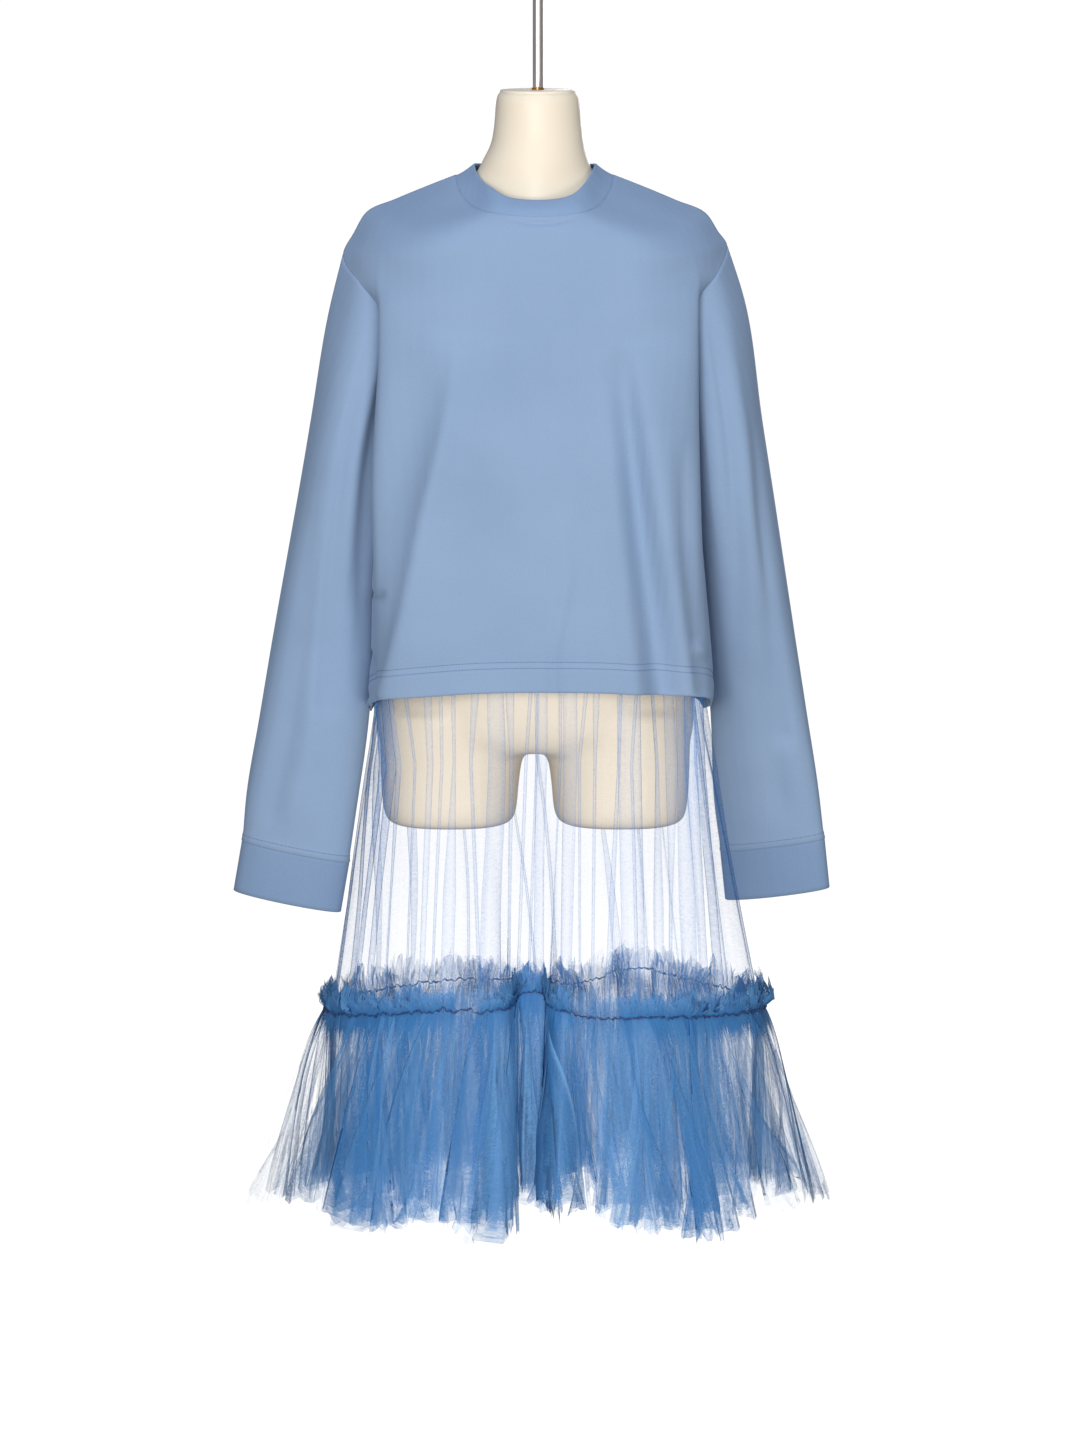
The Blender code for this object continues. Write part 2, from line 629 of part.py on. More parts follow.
def ruffle_layer(name, layer, seam, outward, wave, tulle):
    """One ruffle layer: the frill above the seam, the seam, and the full pleats below it."""
    lift = SEAM_GAP + layer * (TULLE + SEAM_GAP)
    ring = seam + outward * (lift + TULLE)
    spread = seam * np.array((RUFFLE_SPREAD - 1.0, RUFFLE_SPREAD - 1.0, 0.0))
    flat_out = outward * np.array((1.0, 1.0, 0.0))
    flat_out /= np.linalg.norm(flat_out, axis=1, keepdims=True)
    up = np.array((0.0, 0.0, 1.0))
    rings = [ring + up * HEADING + flat_out * (HEADING_FLARE + layer * HEADING_SPLAY)]
    for level in RUFFLE_LEVELS:
        drop = RUFFLE_DROP * level
        depth = RUFFLE_FOLD_DEPTH * level ** 0.7
        apart = layer * (LAYER_SPLAY[0] * level ** 0.5 + LAYER_SPLAY[1] * level)
        out = spread * level ** 0.75 + flat_out * (wave * depth + apart)
        rings.append(ring + out - up * drop)
    grid = np.array(rings)
    direction = tube_normals(grid)
    direction[1] = outward
    wall(name, grid, grid - direction * TULLE, True, tulle)


def main():
    for obj in list(bpy.data.objects):
        bpy.data.objects.remove(obj, do_unlink=True)
    ivory = finish("ivory_form", (0.86, 0.80, 0.68), 0.45)
    steel = finish("polished_steel", (0.72, 0.70, 0.70), 0.15, 1.0)
    brass = finish("brass", (0.55, 0.40, 0.16), 0.3, 1.0)
    jersey = finish("blue_jersey", (0.21, 0.36, 0.59), 0.9)
    doubled = finish("blue_jersey_doubled", (0.20, 0.33, 0.54), 0.9)
    tulle = finish("blue_tulle", (0.06, 0.20, 0.47), 0.8, alpha=0.5)
    build_rod(steel, brass)
    build_form(ivory)
    rings, outward = build_top(jersey, doubled)
    build_tulle(rings, outward, tulle)


main()
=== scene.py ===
"""Jersey sweatshirt dress with a gathered tulle skirt and ruffle, on an ivory form that hangs from a rod."""
import json
import math

import bpy
import numpy as np
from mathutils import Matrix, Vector

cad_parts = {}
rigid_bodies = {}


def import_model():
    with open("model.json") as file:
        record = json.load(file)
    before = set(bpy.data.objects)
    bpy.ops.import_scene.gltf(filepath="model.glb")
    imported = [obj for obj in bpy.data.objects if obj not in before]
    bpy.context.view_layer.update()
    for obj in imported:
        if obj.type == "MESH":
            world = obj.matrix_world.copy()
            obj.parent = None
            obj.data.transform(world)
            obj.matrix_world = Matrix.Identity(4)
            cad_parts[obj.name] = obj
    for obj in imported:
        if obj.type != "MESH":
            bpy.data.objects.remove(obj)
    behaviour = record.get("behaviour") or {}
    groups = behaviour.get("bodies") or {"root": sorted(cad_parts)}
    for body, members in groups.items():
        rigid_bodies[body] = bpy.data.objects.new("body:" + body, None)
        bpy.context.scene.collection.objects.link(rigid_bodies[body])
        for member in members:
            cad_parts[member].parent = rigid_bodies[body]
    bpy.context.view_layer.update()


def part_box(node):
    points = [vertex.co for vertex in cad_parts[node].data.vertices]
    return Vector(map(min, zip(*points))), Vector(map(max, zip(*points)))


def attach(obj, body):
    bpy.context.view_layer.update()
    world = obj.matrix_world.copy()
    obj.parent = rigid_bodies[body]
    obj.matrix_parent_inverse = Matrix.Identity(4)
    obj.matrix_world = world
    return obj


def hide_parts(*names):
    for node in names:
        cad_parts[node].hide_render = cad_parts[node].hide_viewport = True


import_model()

# ------------------------------------------------------------------------------------------------------------
# The view and the studio.
# A long lens stands nine metres in front and looks down by seven degrees. A white cove of paper makes the
# floor and the wall all round, and wide soft lights stand beside the lens, above the dress and behind it.
# ------------------------------------------------------------------------------------------------------------
CAMERA_DISTANCE = 9.0
CAMERA_DROP = math.radians(7.0)
AIM = Vector((0.0021, 0.0, -0.7846))
FRAME_HEIGHT = 1.4976            # what the picture's long side spans at the dress
SENSOR = 36.0
FLOOR_LEVEL = -1.62
FLOOR_RADIUS = 13.0              # the white cove runs all round, so that every side has the same ground
COVE_RADIUS = 2.0
WALL_TOP = 9.0
COVE_SIDES = 96
COVE_STEPS = 24                  # of the round between floor and wall
PAPER_GLOW = 1.02                # the paper burns out to plain white


def linear(hex_colour):
    """Linear RGBA of an sRGB hex colour."""
    parts = [int(hex_colour[i:i + 2], 16) / 255.0 for i in (1, 3, 5)]
    return tuple(c / 12.92 if c <= 0.04045 else ((c + 0.055) / 1.055) ** 2.4 for c in parts) + (1.0,)


def blank_material(name):
    """A material with a Principled shader and nothing else: the material, its tree and the shader."""
    material = bpy.data.materials.new(name)
    material.use_nodes = True
    tree = material.node_tree
    return material, tree, tree.nodes["Principled BSDF"]


def ring_faces(rings, sides):
    """Quads between rings of points that follow one another."""
    faces = []
    for ring in range(rings - 1):
        for i in range(sides):
            a, b = ring * sides + i, ring * sides + (i + 1) % sides
            faces.append((b, a, a + sides, b + sides))
    return faces


camera = bpy.data.objects.new("camera", bpy.data.cameras.new("camera"))
bpy.context.scene.collection.objects.link(camera)
look = Vector((0.0, math.cos(CAMERA_DROP), -math.sin(CAMERA_DROP)))
camera.location = AIM - look * CAMERA_DISTANCE
camera.rotation_euler = (math.pi / 2.0 - CAMERA_DROP, 0.0, 0.0)
camera.data.sensor_width = SENSOR
camera.data.lens = SENSOR * CAMERA_DISTANCE / FRAME_HEIGHT
camera.data.clip_end = 60.0
bpy.context.scene.camera = camera
bpy.context.scene.view_settings.view_transform = "Standard"
bpy.context.scene.cycles.transparent_max_bounces = 64
bpy.context.scene.cycles.max_bounces = 8

paper, tree, shader = blank_material("studio_paper")
# thin white paper lit evenly from behind, so it takes hardly any light from the lamps in front
shader.inputs["Base Color"].default_value = linear("#2A2A2A")
shader.inputs["Emission Color"].default_value = linear("#FFFFFF")
shader.inputs["Emission Strength"].default_value = PAPER_GLOW
# it lights nothing but itself, so no lamp's rays are spent on it
paper.cycles.emission_sampling = "NONE"
shader.inputs["Roughness"].default_value = 0.9
profile = [(FLOOR_RADIUS * share, FLOOR_LEVEL) for share in (0.02, 0.1, 0.4, 0.7, 1.0)]
for step in range(1, COVE_STEPS + 1):
    turn = math.pi / 2.0 * step / COVE_STEPS
    profile.append((FLOOR_RADIUS + COVE_RADIUS * math.sin(turn),
                    FLOOR_LEVEL + COVE_RADIUS * (1.0 - math.cos(turn))))
profile.append((FLOOR_RADIUS + COVE_RADIUS, WALL_TOP))
around = [2.0 * math.pi * i / COVE_SIDES for i in range(COVE_SIDES)]
cove_points = [(r * math.cos(a), r * math.sin(a), z) for r, z in profile for a in around]
cove_faces = [tuple(range(COVE_SIDES))] + ring_faces(len(profile), COVE_SIDES)
cove_mesh = bpy.data.meshes.new("studio_cove")
cove_mesh.from_pydata(cove_points, [], cove_faces)
cove_mesh.materials.append(paper)
cove_mesh.shade_smooth()
cove = bpy.data.objects.new("studio_cove", cove_mesh)
bpy.context.scene.collection.objects.link(cove)
# the lamps alone light the dress, so that cloth that turns away from them darkens as it does in the picture
cove.visible_diffuse = False
cove.visible_glossy = False

world = bpy.data.worlds.new("studio")
world.use_nodes = True
world.node_tree.nodes["Background"].inputs["Color"].default_value = linear("#F4F6FA")
world.node_tree.nodes["Background"].inputs["Strength"].default_value = 0.25
bpy.context.scene.world = world
# each light: name, place, point it looks at, width, height, watts, colour
STUDIO_LIGHTS = (
    ("key", (-0.7, -4.3, -0.1), (0.0, 0.0, -0.75), 1.2, 1.6, 101.0, "#FFFDF9"),
    ("fill", (0.8, -3.6, -1.4), (0.0, 0.0, -0.9), 2.0, 1.2, 76.0, "#FFF9F0"),
    ("top", (0.0, -1.4, 2.2), (0.0, 0.0, -0.5), 2.0, 1.2, 40.0, "#DDEAFF"),
    ("back", (0.9, 4.3, 0.1), (0.0, 0.0, -0.75), 1.6, 1.8, 96.0, "#FFFFFF"),
)
for name, place, target, width, height, watts, colour in STUDIO_LIGHTS:
    light = bpy.data.lights.new(name, "AREA")
    light.shape = "RECTANGLE"
    light.size = width
    light.size_y = height
    light.energy = watts
    light.color = linear(colour)[:3]
    lamp = bpy.data.objects.new(name, light)
    lamp.location = place
    lamp.visible_camera = False
    lamp.rotation_euler = (Vector(target) - Vector(place)).to_track_quat("-Z", "Y").to_euler()
    bpy.context.scene.collection.objects.link(lamp)

# ------------------------------------------------------------------------------------------------------------
# The hanging rod and its ferrule.
# A polished stainless steel tube carries the whole form. It is pushed into a short turned brass ring, which
# stands on the form's cap.
# ------------------------------------------------------------------------------------------------------------
MM = 0.001
ROUND_SIDES = 96
EDGE = 0.5                       # broken edge of a turned piece, mm
SHARP = math.radians(40.0)       # edges of a turned piece that are sharper than this stay crisp


def add_node(tree, kind, sockets=None, **settings):
    """Adds a node, sets its properties and fills or links its inputs."""
    node = tree.nodes.new(kind)
    for name, value in settings.items():
        setattr(node, name, value)
    for name, value in (sockets or {}).items():
        if isinstance(value, bpy.types.NodeSocket):
            tree.links.new(value, node.inputs[name])
        else:
            node.inputs[name].default_value = value
    return node


def new_object(name, points, faces, material):
    """A smooth mesh object from points in millimetres."""
    mesh = bpy.data.meshes.new(name)
    mesh.from_pydata([tuple(p) for p in np.asarray(points, dtype=float) * MM], [], faces)
    mesh.validate()
    mesh.materials.append(material)
    mesh.shade_smooth()
    made = bpy.data.objects.new(name, mesh)
    bpy.context.scene.collection.objects.link(made)
    return made


def fasten(piece, slot, *nodes):
    """The piece rides on the part's one body and stands for CAD nodes, which it hides; the slot is not used.
    """
    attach(piece, "root")
    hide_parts(*nodes)


def lofted(name, rings, material):
    """A closed solid through rings of equal count, top first."""
    count = len(rings[0])
    points = [p for ring in rings for p in ring]
    faces = [tuple(range(count)), tuple(range(len(points) - count, len(points)))[::-1]]
    return new_object(name, points, faces + ring_faces(len(rings), count), material)


def turned(name, profile, material):
    """A solid turned on the Z axis from (radius, z) pairs, top first; closed at both ends."""
    angles = np.linspace(0.0, 2.0 * math.pi, ROUND_SIDES, endpoint=False)
    rings = [[(r * math.cos(a), r * math.sin(a), z) for a in angles] for r, z in profile]
    piece = lofted(name, rings, material)
    piece.data.set_sharp_from_angle(angle=SHARP)
    return piece


def worked_metal(name, colour, lines, low, high):
    """A metal, rough from low to high in the faint lines of its making, so many a metre along x, y and z."""
    material, tree, shader = blank_material(name)
    place = add_node(tree, "ShaderNodeTexCoord")
    scaled = add_node(tree, "ShaderNodeMapping", {"Vector": place.outputs["Object"], "Scale": lines})
    worked = add_node(tree, "ShaderNodeTexNoise", {"Vector": scaled.outputs["Vector"], "Scale": 1.0,
                                                   "Detail": 2.0})
    rough = add_node(tree, "ShaderNodeMapRange", {"Value": worked.outputs["Fac"], "To Min": low,
                                                  "To Max": high})
    tree.links.new(rough.outputs["Result"], shader.inputs["Roughness"])
    shader.inputs["Base Color"].default_value = linear(colour)
    shader.inputs["Metallic"].default_value = 1.0
    return material


# drawn and polished tube: long faint draw lines along its axis
steel = worked_metal("drawn_stainless_steel", "#E2D8D5", (900.0, 900.0, 4.0), 0.32, 0.46)
# turned ring: fine tool lines round it
brass = worked_metal("turned_brass", "#C08A4E", (120.0, 120.0, 4000.0), 0.22, 0.38)
for name, node, slot, metal in (("rod_tube", "rod", "rod", steel),
                                ("rod_ferrule_ring", "rod_ferrule", "ferrule", brass)):
    low, high = (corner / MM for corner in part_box(node))
    radius = high.x
    piece = turned(name, ((radius - EDGE, high.z), (radius, high.z - EDGE), (radius, low.z)), metal)
    fasten(piece, slot, node)

# ------------------------------------------------------------------------------------------------------------
# The torso form.
# A display form of moulded glass fibre, rubbed down and sprayed satin ivory: torso, neck and two thigh stubs
# in one shell, with a flat turned cap let into the top of the neck.
# ------------------------------------------------------------------------------------------------------------
# a row per level: z, half width, reach to the front, reach to the back, middle, roundness
FORM = (
    (-130.0, 42.3, 42.0, 42.0, 0.0, 2.0),
    (-134.0, 43.2, 43.0, 43.0, 0.0, 2.0),
    (-156.0, 44.6, 44.0, 44.0, 0.0, 2.0),
    (-177.0, 47.0, 46.0, 46.0, 0.0, 2.0),
    (-190.0, 49.5, 49.0, 46.0, -1.0, 2.0),
    (-201.0, 54.5, 52.0, 47.5, -2.5, 1.9),
    (-210.0, 58.0, 54.0, 47.5, -3.0, 1.75),
    (-219.0, 65.0, 57.0, 48.5, -3.0, 1.5),
    (-229.0, 84.0, 62.5, 51.5, -3.0, 1.34),
    (-240.0, 113.0, 70.0, 55.0, -3.0, 1.3),
    (-253.0, 138.0, 76.0, 61.0, -3.0, 1.32),
    (-267.0, 154.0, 82.0, 67.0, -3.0, 1.38),
    (-282.0, 160.0, 87.0, 74.0, -2.0, 1.55),
    (-305.0, 158.0, 92.0, 80.0, 0.0, 1.75),
    (-350.0, 144.0, 98.0, 84.0, 0.0, 2.1),
    (-400.0, 134.0, 102.0, 84.0, 0.0, 2.2),
    (-470.0, 128.0, 95.0, 78.0, 0.0, 2.25),
    (-560.0, 118.0, 84.0, 70.0, -2.0, 2.25),
    (-650.0, 142.0, 90.0, 84.0, -3.0, 2.25),
    (-735.0, 163.0, 97.0, 94.0, -3.0, 2.25),
    (-790.0, 165.0, 95.0, 95.0, -3.0, 2.3),
    (-812.0, 158.0, 80.0, 80.0, -3.0, 2.3),
)
# one thigh stub, a row per level: z, inner and outer reach, half depth
STUB = (
    (-770.0, 8.0, 160.0, 88.0),
    (-812.0, 12.0, 161.0, 86.0),
    (-850.0, 17.0, 160.0, 83.0),
    (-880.0, 20.0, 157.0, 80.0),
    (-889.0, 24.0, 153.0, 77.0),
    (-891.0, 30.0, 147.0, 72.0),
)
STUB_ROUNDNESS = 2.6
STUB_LEVELS = 32
FORM_SIDES = 96
FORM_PARTS = 4                   # rings to each row of the form's table
FORM_VOXEL = 4.0                 # mm
FORM_RUBS = 22
ARCH_LEVEL = -800.0              # the arch between the thighs is rubbed down further
ARCH_REACH = 34.0
ARCH_RUBS = 70
CAP_RADIUS = 39.0
CAP_RECESS = 3.0


def spline(values, knots, samples, steady=True):
    """Smooth curve through rows of values, read at the samples; a steady one never overshoots its rows."""
    values = np.asarray(values, dtype=float)
    knots = np.asarray(knots, dtype=float)
    step = np.diff(knots)
    shape = (-1,) + (1,) * (values.ndim - 1)
    slope = np.diff(values, axis=0) / step.reshape(shape)
    tangent = np.empty_like(values)
    tangent[0], tangent[-1] = slope[0], slope[-1]
    before = step[:-1].reshape(shape)
    after = step[1:].reshape(shape)
    tangent[1:-1] = (slope[:-1] * after + slope[1:] * before) / (before + after)
    if steady:
        low = np.minimum(abs(slope[:-1]), abs(slope[1:])) * 2.0
        tangent[1:-1] = np.clip(tangent[1:-1], -low, low) * (slope[:-1] * slope[1:] > 0.0)
    samples = np.asarray(samples, dtype=float)
    span = np.clip(np.searchsorted(knots, samples, side="right") - 1, 0, len(step) - 1)
    u = ((samples - knots[span]) / step[span]).reshape(shape)
    h = step[span].reshape(shape)
    return ((2 * u ** 3 - 3 * u ** 2 + 1) * values[span] + (u ** 3 - 2 * u ** 2 + u) * h * tangent[span]
            + (3 * u ** 2 - 2 * u ** 3) * values[span + 1] + (u ** 3 - u ** 2) * h * tangent[span + 1])


def superellipse(angle, half, front, back, mid, roundness):
    """A point of a level of the form, x and y; angle 0 is at +X and a quarter turn is the back."""
    power = 2.0 / roundness
    c, s = math.cos(angle), math.sin(angle)
    reach = back if s > 0 else front
    return (mid + half * math.copysign(abs(c) ** power, c), reach * math.copysign(abs(s) ** power, s))


def applied(piece):
    """Turns a piece with modifiers into a plain mesh."""
    graph = bpy.context.evaluated_depsgraph_get()
    made = bpy.data.meshes.new_from_object(piece.evaluated_get(graph))
    piece.modifiers.clear()
    old = piece.data
    piece.data = made
    bpy.data.meshes.remove(old)
    made.shade_smooth()


ivory, tree, shader = blank_material("satin_ivory_lacquer")
# sprayed lacquer over rubbed-down glass fibre: satin, cloudy by a shade over some 14 cm, with an orange peel
# of about 1 mm that is drawn as 2.4 mm, so that it shows
place = add_node(tree, "ShaderNodeTexCoord")
cloud = add_node(tree, "ShaderNodeTexNoise", {"Vector": place.outputs["Object"], "Scale": 7.0, "Detail": 4.0})
tone = add_node(tree, "ShaderNodeMix", {"Factor": cloud.outputs["Fac"], "A": linear("#E4D8C2"),
                                        "B": linear("#EADECA")}, data_type="RGBA")
tree.links.new(tone.outputs["Result"], shader.inputs["Base Color"])
peel = add_node(tree, "ShaderNodeTexNoise", {"Vector": place.outputs["Object"], "Scale": 420.0,
                                             "Detail": 2.0})
bump = add_node(tree, "ShaderNodeBump", {"Height": peel.outputs["Fac"], "Distance": 0.00012,
                                         "Strength": 0.35})
tree.links.new(bump.outputs["Normal"], shader.inputs["Normal"])
rough = add_node(tree, "ShaderNodeMapRange", {"Value": cloud.outputs["Fac"], "To Min": 0.40, "To Max": 0.50})
tree.links.new(rough.outputs["Result"], shader.inputs["Roughness"])
shader.inputs["Specular IOR Level"].default_value = 0.4

angles = [2.0 * math.pi * i / FORM_SIDES for i in range(FORM_SIDES)]
table = np.array(FORM)
spans = [np.linspace(a, b, FORM_PARTS, endpoint=False) for a, b in zip(table[:-1, 0], table[1:, 0])]
levels = np.concatenate(spans + [table[-1:, 0]])
fine = spline(table[::-1], table[::-1, 0], levels)
rings = [[(*superellipse(a, *row[1:]), row[0]) for a in angles] for row in fine]
torso = lofted("torso_form", rings, ivory)
stub_table = np.array(STUB)
for side in (-1, 1):
    stub_levels = np.linspace(stub_table[0, 0], stub_table[-1, 0], STUB_LEVELS)
    rings = []
    for z, inner, outer, depth in spline(stub_table[::-1], stub_table[::-1, 0], stub_levels):
        half = (outer - inner) / 2.0
        mid = FORM[-1][4] + side * (outer + inner) / 2.0
        rings.append([(*superellipse(a, half, depth, depth, mid, STUB_ROUNDNESS), z) for a in angles])
    stub = lofted("thigh_stub", rings, ivory)
    joint = torso.modifiers.new("join", "BOOLEAN")
    joint.operation = "UNION"
    joint.solver = "EXACT"
    joint.object = stub
skin = torso.modifiers.new("skin", "REMESH")
skin.mode = "VOXEL"
skin.voxel_size = FORM_VOXEL * MM
rubbed = torso.modifiers.new("rubbed_down", "SMOOTH")
rubbed.factor = 0.5
rubbed.iterations = FORM_RUBS
applied(torso)
# the arch between the thighs is filled and rubbed down until it is round
arch = torso.vertex_groups.new(name="arch")
for vertex in torso.data.vertices:
    away = (vertex.co - Vector((0.0, vertex.co.y, ARCH_LEVEL * MM))).length / MM
    arch.add([vertex.index], math.exp(-(away / ARCH_REACH) ** 2), "REPLACE")
rubbed = torso.modifiers.new("arch_rubbed", "SMOOTH")
rubbed.factor = 0.6
rubbed.iterations = ARCH_RUBS
rubbed.vertex_group = "arch"
applied(torso)
for stub in [o for o in bpy.data.objects if o.name.startswith("thigh_stub")]:
    bpy.data.objects.remove(stub)
fasten(torso, "form", "form_torso")

cap_top = FORM[0][0]
cap = turned("form_cap_disc", ((CAP_RADIUS - 1.2, cap_top + 0.1), (CAP_RADIUS - 0.4, cap_top - 0.1),
                               (CAP_RADIUS, cap_top - 0.8), (CAP_RADIUS, cap_top - CAP_RECESS)), ivory)
fasten(cap, "form", "form_cap")

# ------------------------------------------------------------------------------------------------------------
# The front and the back of the top.
# Cut from mid-blue cotton jersey and sewn at the shoulders and sides. The hem is turned up 31 mm and held by
# a twin needle. Both panels hang from the form's shoulders in a few long, soft folds.
# ------------------------------------------------------------------------------------------------------------
SEAM_GAP = 0.3
JERSEY = 1.5
# a row per section, hem first: z_mid, y_mid, fold_x, fold_y, turn_x, turn_y, edge_x, edge_y, edge_z
FRONT_RIGHT = (
    (-740, -130, -158, -94, -171, -56, -174.5, 0, -775),
    (-712, -130, -160, -94, -172, -56, -174.5, 0, -747),
    (-630, -127, -171, -89, -174, -54, -169, 1, -655),
    (-540, -120, -173, -81, -166, -48, -154, 1, -560),
    (-452, -114, -168, -77, -157, -42, -148, 0, -472),
    (-395, -111, -164, -73, -158, -54, -152, -36, -405),
    (-345, -108, -163, -69, -164.5, -60.5, -163.5, -50, -351),
    (-314, -105.5, -161, -63, -172, -52, -184, -36, -326),
    (-298, -103.5, -160, -60, -181, -36, -201.5, 0, -300),
    (-289, -102, -154, -58, -173, -33, -190, 4, -277),
    (-281, -100, -141, -56, -160, -30, -177, 4, -256),
    (-273, -98, -122, -54.5, -136, -28, -148, 4, -243),
    (-264, -95.5, -99, -52, -110, -27, -119, 4, -231),
    (-255, -92, -73, -50, -82, -25, -86, 4, -218),
)
FRONT_LEFT = (
    (-740, -130, 166, -80, 172, -48, 173, 0, -772),
    (-712, -130, 166, -80, 172, -48, 173, 0, -745),
    (-630, -127, 165, -82, 168, -50, 167, 1, -653),
    (-540, -120, 165, -80, 162, -48, 154, 1, -556),
    (-452, -114, 165, -76, 156, -42, 148, 0, -468),
    (-395, -111, 165, -73, 158, -54, 152, -36, -400),
    (-345, -108, 165, -69, 165, -60.5, 163.5, -50, -343),
    (-314, -105.5, 162, -63, 172, -52, 184, -36, -318),
    (-298, -103.5, 160, -60, 178, -36, 195.5, 0, -291),
    (-289, -102, 152, -58, 170, -33, 186, 4, -276),
    (-281, -100, 140, -56, 157, -30, 173, 4, -257),
    (-273, -98, 119, -54.5, 132, -28, 143, 4, -244),
    (-264, -95.5, 93, -52, 104, -27, 112, 4, -231),
    (-255, -92, 67, -50, 75, -25, 79, 4, -218),
)
# the back's sections, its edges are the front's: z_mid, y_mid, fold_x, fold_y, turn_x, turn_y
BACK = (
    (-764, 112, 146, 92, 168, 54),
    (-736, 112, 146, 92, 168, 54),
    (-645, 106, 150, 86, 166, 50),
    (-552, 100, 152, 80, 158, 46),
    (-462, 98, 150, 77, 153, 42),
    (-405, 99, 149, 75, 156, 54),
    (-352, 99, 151, 71, 161, 60),
    (-318, 97, 153, 66, 171, 52),
    (-296, 93, 153, 60, 178, 36),
    (-280, 89, 148, 57, 170, 34),
    (-267, 85, 137, 54, 158, 33),
    (-254, 80, 116, 51, 133, 31),
    (-240, 74, 91, 47.5, 105, 29),
    (-224, 66, 64, 42, 75, 28),
)
ARMHOLE = (4, 8)                 # sections of the underarm and of the shoulder point
MID_X = 0.62
MID_Y = 0.20
HEIGHT_SHARE = (0.0, 0.10, 0.36, 0.66, 1.0)
ARMHOLE_PARTS = 12
ROW_PARTS = (14, 22, 22, 22) + (ARMHOLE_PARTS,) * 4 + (6,) * 5
COLUMN_PARTS = (12, 12, 14, 20, 20, 14, 12, 12)
SMOOTHING = 3                    # passes that ease the cloth over its sections
FOLD_STRENGTH = 2.8              # all folds of the panels are this much taller than listed
FOLD_STEPS = 28                  # a fold's course is read at so many places
HEM_END = -740.0                 # a fold that reaches down to here runs off the hem's edge
EDGE_FADE = 26.0                 # a fold dies out this far from a seam, mm
# folds of the front: height (a trough's is below nothing), reach to its right and left, then its course,
# x and z
FRONT_FOLDS = (
    (6.5, 30.0, 56.0, ((-84, -372), (-92, -450), (-117, -563), (-133, -646), (-152, -742))),
    (1.2, 4.0, 12.0, ((-84, -372), (-92, -450), (-117, -563), (-133, -646), (-152, -742))),
    (-3.4, 34.0, 14.0, ((-103, -392), (-113, -460), (-136, -570), (-150, -650), (-166, -742))),
    (-4.2, 20.0, 12.0, ((84, -392), (92, -450), (106, -560), (118, -650), (131, -742))),
    (5.2, 10.0, 34.0, ((100, -380), (106, -440), (124, -571), (137, -650), (152, -742))),
    (2.6, 16.0, 14.0, ((64, -392), (72, -440), (86, -590), (97, -700), (100, -742))),
    (-2.4, 9.0, 9.0, ((146, -480), (149, -600), (156, -690), (160, -742))),
    (-0.6, 22.0, 24.0, ((-38, -330), (-50, -420), (-60, -520))),
    (0.8, 30.0, 30.0, ((10, -440), (16, -560), (14, -650))),
    (1.1, 4.0, 5.0, ((24, -560), (30, -620), (22, -668), (15, -700), (15, -742))),
    (-0.9, 3.0, 3.5, ((-40, -253), (-16, -259), (8, -261), (32, -256), (50, -250))),
    (-1.8, 4.5, 4.5, ((-176, -649), (-168, -646), (-156, -641))),
    (-2.2, 3.5, 5.0, ((-172, -703), (-168, -722), (-165, -736))),
    (1.8, 5.0, 4.0, ((158, -690), (163, -704), (168, -706))),
)
BACK_FOLDS = (
    (4.5, 12.0, 38.0, ((-70, -350), (-88, -450), (-108, -570), (-126, -764))),
    (-4.0, 15.0, 15.0, ((-92, -380), (-112, -470), (-132, -600), (-146, -764))),
    (4.0, 36.0, 12.0, ((82, -360), (96, -470), (112, -590), (120, -764))),
    (-3.6, 15.0, 15.0, ((103, -390), (120, -480), (134, -610), (141, -764))),
    (-2.2, 24.0, 24.0, ((-20, -330), (-8, -440), (2, -540))),
    (1.8, 30.0, 26.0, ((36, -420), (30, -560), (24, -764))),
    (-1.5, 18.0, 20.0, ((-44, -500), (-50, -640), (-46, -764))),
)
HEM_DEPTH = 31.0                 # from the hem's edge up to the upper needle row
HEM_STEP = 0.55                  # the turned-up cloth stands proud by this
TWIN_ROWS = 6.2                  # between the two needles
NEEDLE_DIP = 0.45                # each needle row draws the cloth in by this
NEEDLE_REACH = 1.6


def chord_knots(points):
    """Knots spaced by the mean distance between neighbouring rows of points."""
    step = np.linalg.norm(np.diff(points, axis=0), axis=-1)
    step = step.reshape(len(step), -1).mean(axis=1)
    return np.concatenate([[0.0], np.cumsum(step)])


def split_knots(knots, parts):
    """Each span of the knots cut into its own number of equal parts."""
    pieces = [np.linspace(a, b, n, endpoint=False) for a, b, n in zip(knots[:-1], knots[1:], parts)]
    return np.concatenate(pieces + [knots[-1:]])


def refine(net, row_parts, column_parts):
    """A control net (rows, columns, xyz) refined to parts of a span each way."""
    knots = chord_knots(net)
    net = spline(net, knots, split_knots(knots, row_parts))
    across = np.swapaxes(net, 0, 1)
    knots = chord_knots(across)
    across = spline(across, knots, split_knots(knots, column_parts))
    return np.swapaxes(across, 0, 1)


